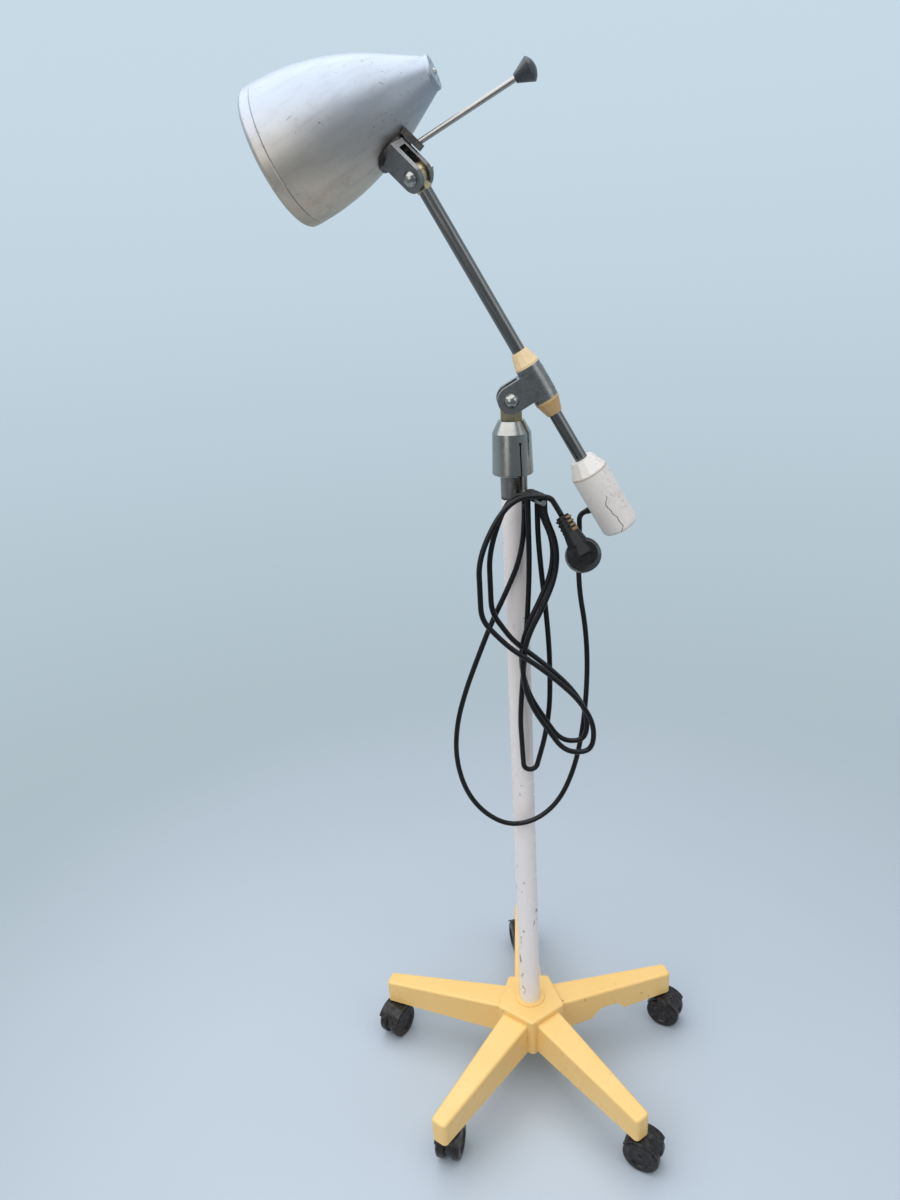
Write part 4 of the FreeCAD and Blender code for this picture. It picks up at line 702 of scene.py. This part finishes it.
free_points = spline_points("free_route", FREE_ROUTE)
cut = next(i for i in range(len(free_points)) if line_length(free_points[:i + 1]) > GLAND_RUN)
lowest = min(range(len(free_points)), key=lambda i: free_points[i].z)
gland_points = free_points[:cut + 1]
drop_points = free_points[cut:lowest + 1]
rise_points = free_points[lowest:]
hank_points = spline_points("hank_route", hank_route())

# The cord in pieces: one at the gland, its drop, and the rest, which goes with the collar like the loops
gland_cord = tube("cord_at_gland", gland_points)
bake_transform(gland_cord)
drop_cord = tube("cord_free_drop", drop_points)
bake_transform(drop_cord)
rise_cord = tube("cord_free_rise", rise_points)
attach(rise_cord, "collar")
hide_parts("cord_free")
hank = tube("cord_loops", hank_points)
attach(hank, "collar")
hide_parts("cord_hank")


# Floor, light and camera

def stage_floor():
    """A pale floor that fades into the room a little way from the lamp."""
    coat = Finish("floor", (0.455, 0.535, 0.63), 0.42)
    coat.tint(coat.patches(0.8, 3, 0.35, 0.7, share=0.4), (0.49, 0.57, 0.665))
    away = coat.add("ShaderNodeVectorMath", operation="LENGTH")
    coat.link(coat.place, away.inputs[0])
    fade = coat.step(away.outputs["Value"], FLOOR_FULL, FLOOR_END)
    clear = coat.add("ShaderNodeBsdfTransparent")
    surface = coat.mix_shaders(fade, coat.shader.outputs["BSDF"], clear.outputs["BSDF"])
    coat.link(surface, coat.tree.nodes["Material Output"].inputs["Surface"])
    mesh = bpy.data.meshes.new("floor")
    shape = bmesh.new()
    bmesh.ops.create_circle(shape, cap_ends=True, segments=FLOOR_SIDES, radius=FLOOR_END)
    shape.to_mesh(mesh)
    shape.free()
    mesh.materials.append(coat.material)
    floor = bpy.data.objects.new("floor", mesh)
    scene.collection.objects.link(floor)


def set_world():
    """A pale blue-grey room that is seen and reflected, and a plain light for everything else."""
    world = bpy.data.worlds.new("room")
    scene.world = world
    world.use_nodes = True
    world.node_tree.nodes.clear()
    room = Shading(world.node_tree)
    ray = room.add("ShaderNodeLightPath").outputs
    way = room.add("ShaderNodeSeparateXYZ")
    room.link(room.add("ShaderNodeTexCoord").outputs["Generated"], way.inputs[0])
    color = room.mix_colors(room.step(way.outputs["Z"], SLOPE_LOW, SLOPE_HIGH), ROOM_LOW, ROOM_HIGH)
    near_viewer = room.step(way.outputs["Y"], DIM_START, DIM_END, 0.0, DIMMING)
    dimmed = room.times(near_viewer, ray["Is Glossy Ray"])
    seen = room.add("ShaderNodeBackground")
    room.link(color, seen.inputs["Color"])
    room.link(room.minus(1.0, dimmed), seen.inputs["Strength"])
    light = room.add("ShaderNodeBackground")
    room.link(ROOM_LIGHT, light.inputs["Color"])
    room.link(ROOM_STRENGTH, light.inputs["Strength"])
    shown = room.larger(ray["Is Camera Ray"], ray["Is Glossy Ray"])
    shown = room.larger(shown, ray["Is Transmission Ray"])
    surface = room.mix_shaders(shown, light.outputs["Background"], seen.outputs["Background"])
    room.link(surface, room.add("ShaderNodeOutputWorld").inputs["Surface"])


def add_lamp(name, place, aim, size, power, color=(1, 1, 1)):
    """A round soft lamp that points at aim."""
    data = bpy.data.lights.new(name, "AREA")
    data.shape = "DISK"
    data.size = size
    data.energy = power
    data.color = color
    lamp = bpy.data.objects.new(name, data)
    lamp.location = place
    lamp.rotation_euler = (Vector(aim) - Vector(place)).to_track_quat("-Z", "Y").to_euler()
    scene.collection.objects.link(lamp)


def set_camera():
    """The photograph's camera."""
    data = bpy.data.cameras.new("camera")
    data.sensor_width = SENSOR_SIZE
    data.lens = SENSOR_SIZE * FOCAL_PIXELS / FRAME_HEIGHT
    data.clip_start = 0.01
    camera = bpy.data.objects.new("camera", data)
    turn = Matrix((CAMERA_RIGHT, CAMERA_UP, CAMERA_BACK)).transposed().to_4x4()
    camera.matrix_world = Matrix.Translation(CAMERA_PLACE) @ turn
    scene.collection.objects.link(camera)
    scene.camera = camera


stage_floor()
set_world()
add_lamp("ceiling", place=(-0.6, -0.2, 3.3), aim=(0, 0, 0.8), size=6.0, power=150)
add_lamp("front", place=(-1.7, -2.3, 1.5), aim=(0, 0, 0.8), size=2.2, power=16, color=(1.0, 0.95, 0.88))
add_lamp("side", place=(1.9, -1.2, 1.7), aim=(0, 0, 0.7), size=1.6, power=7)
set_camera()
scene.view_settings.view_transform = "Standard"
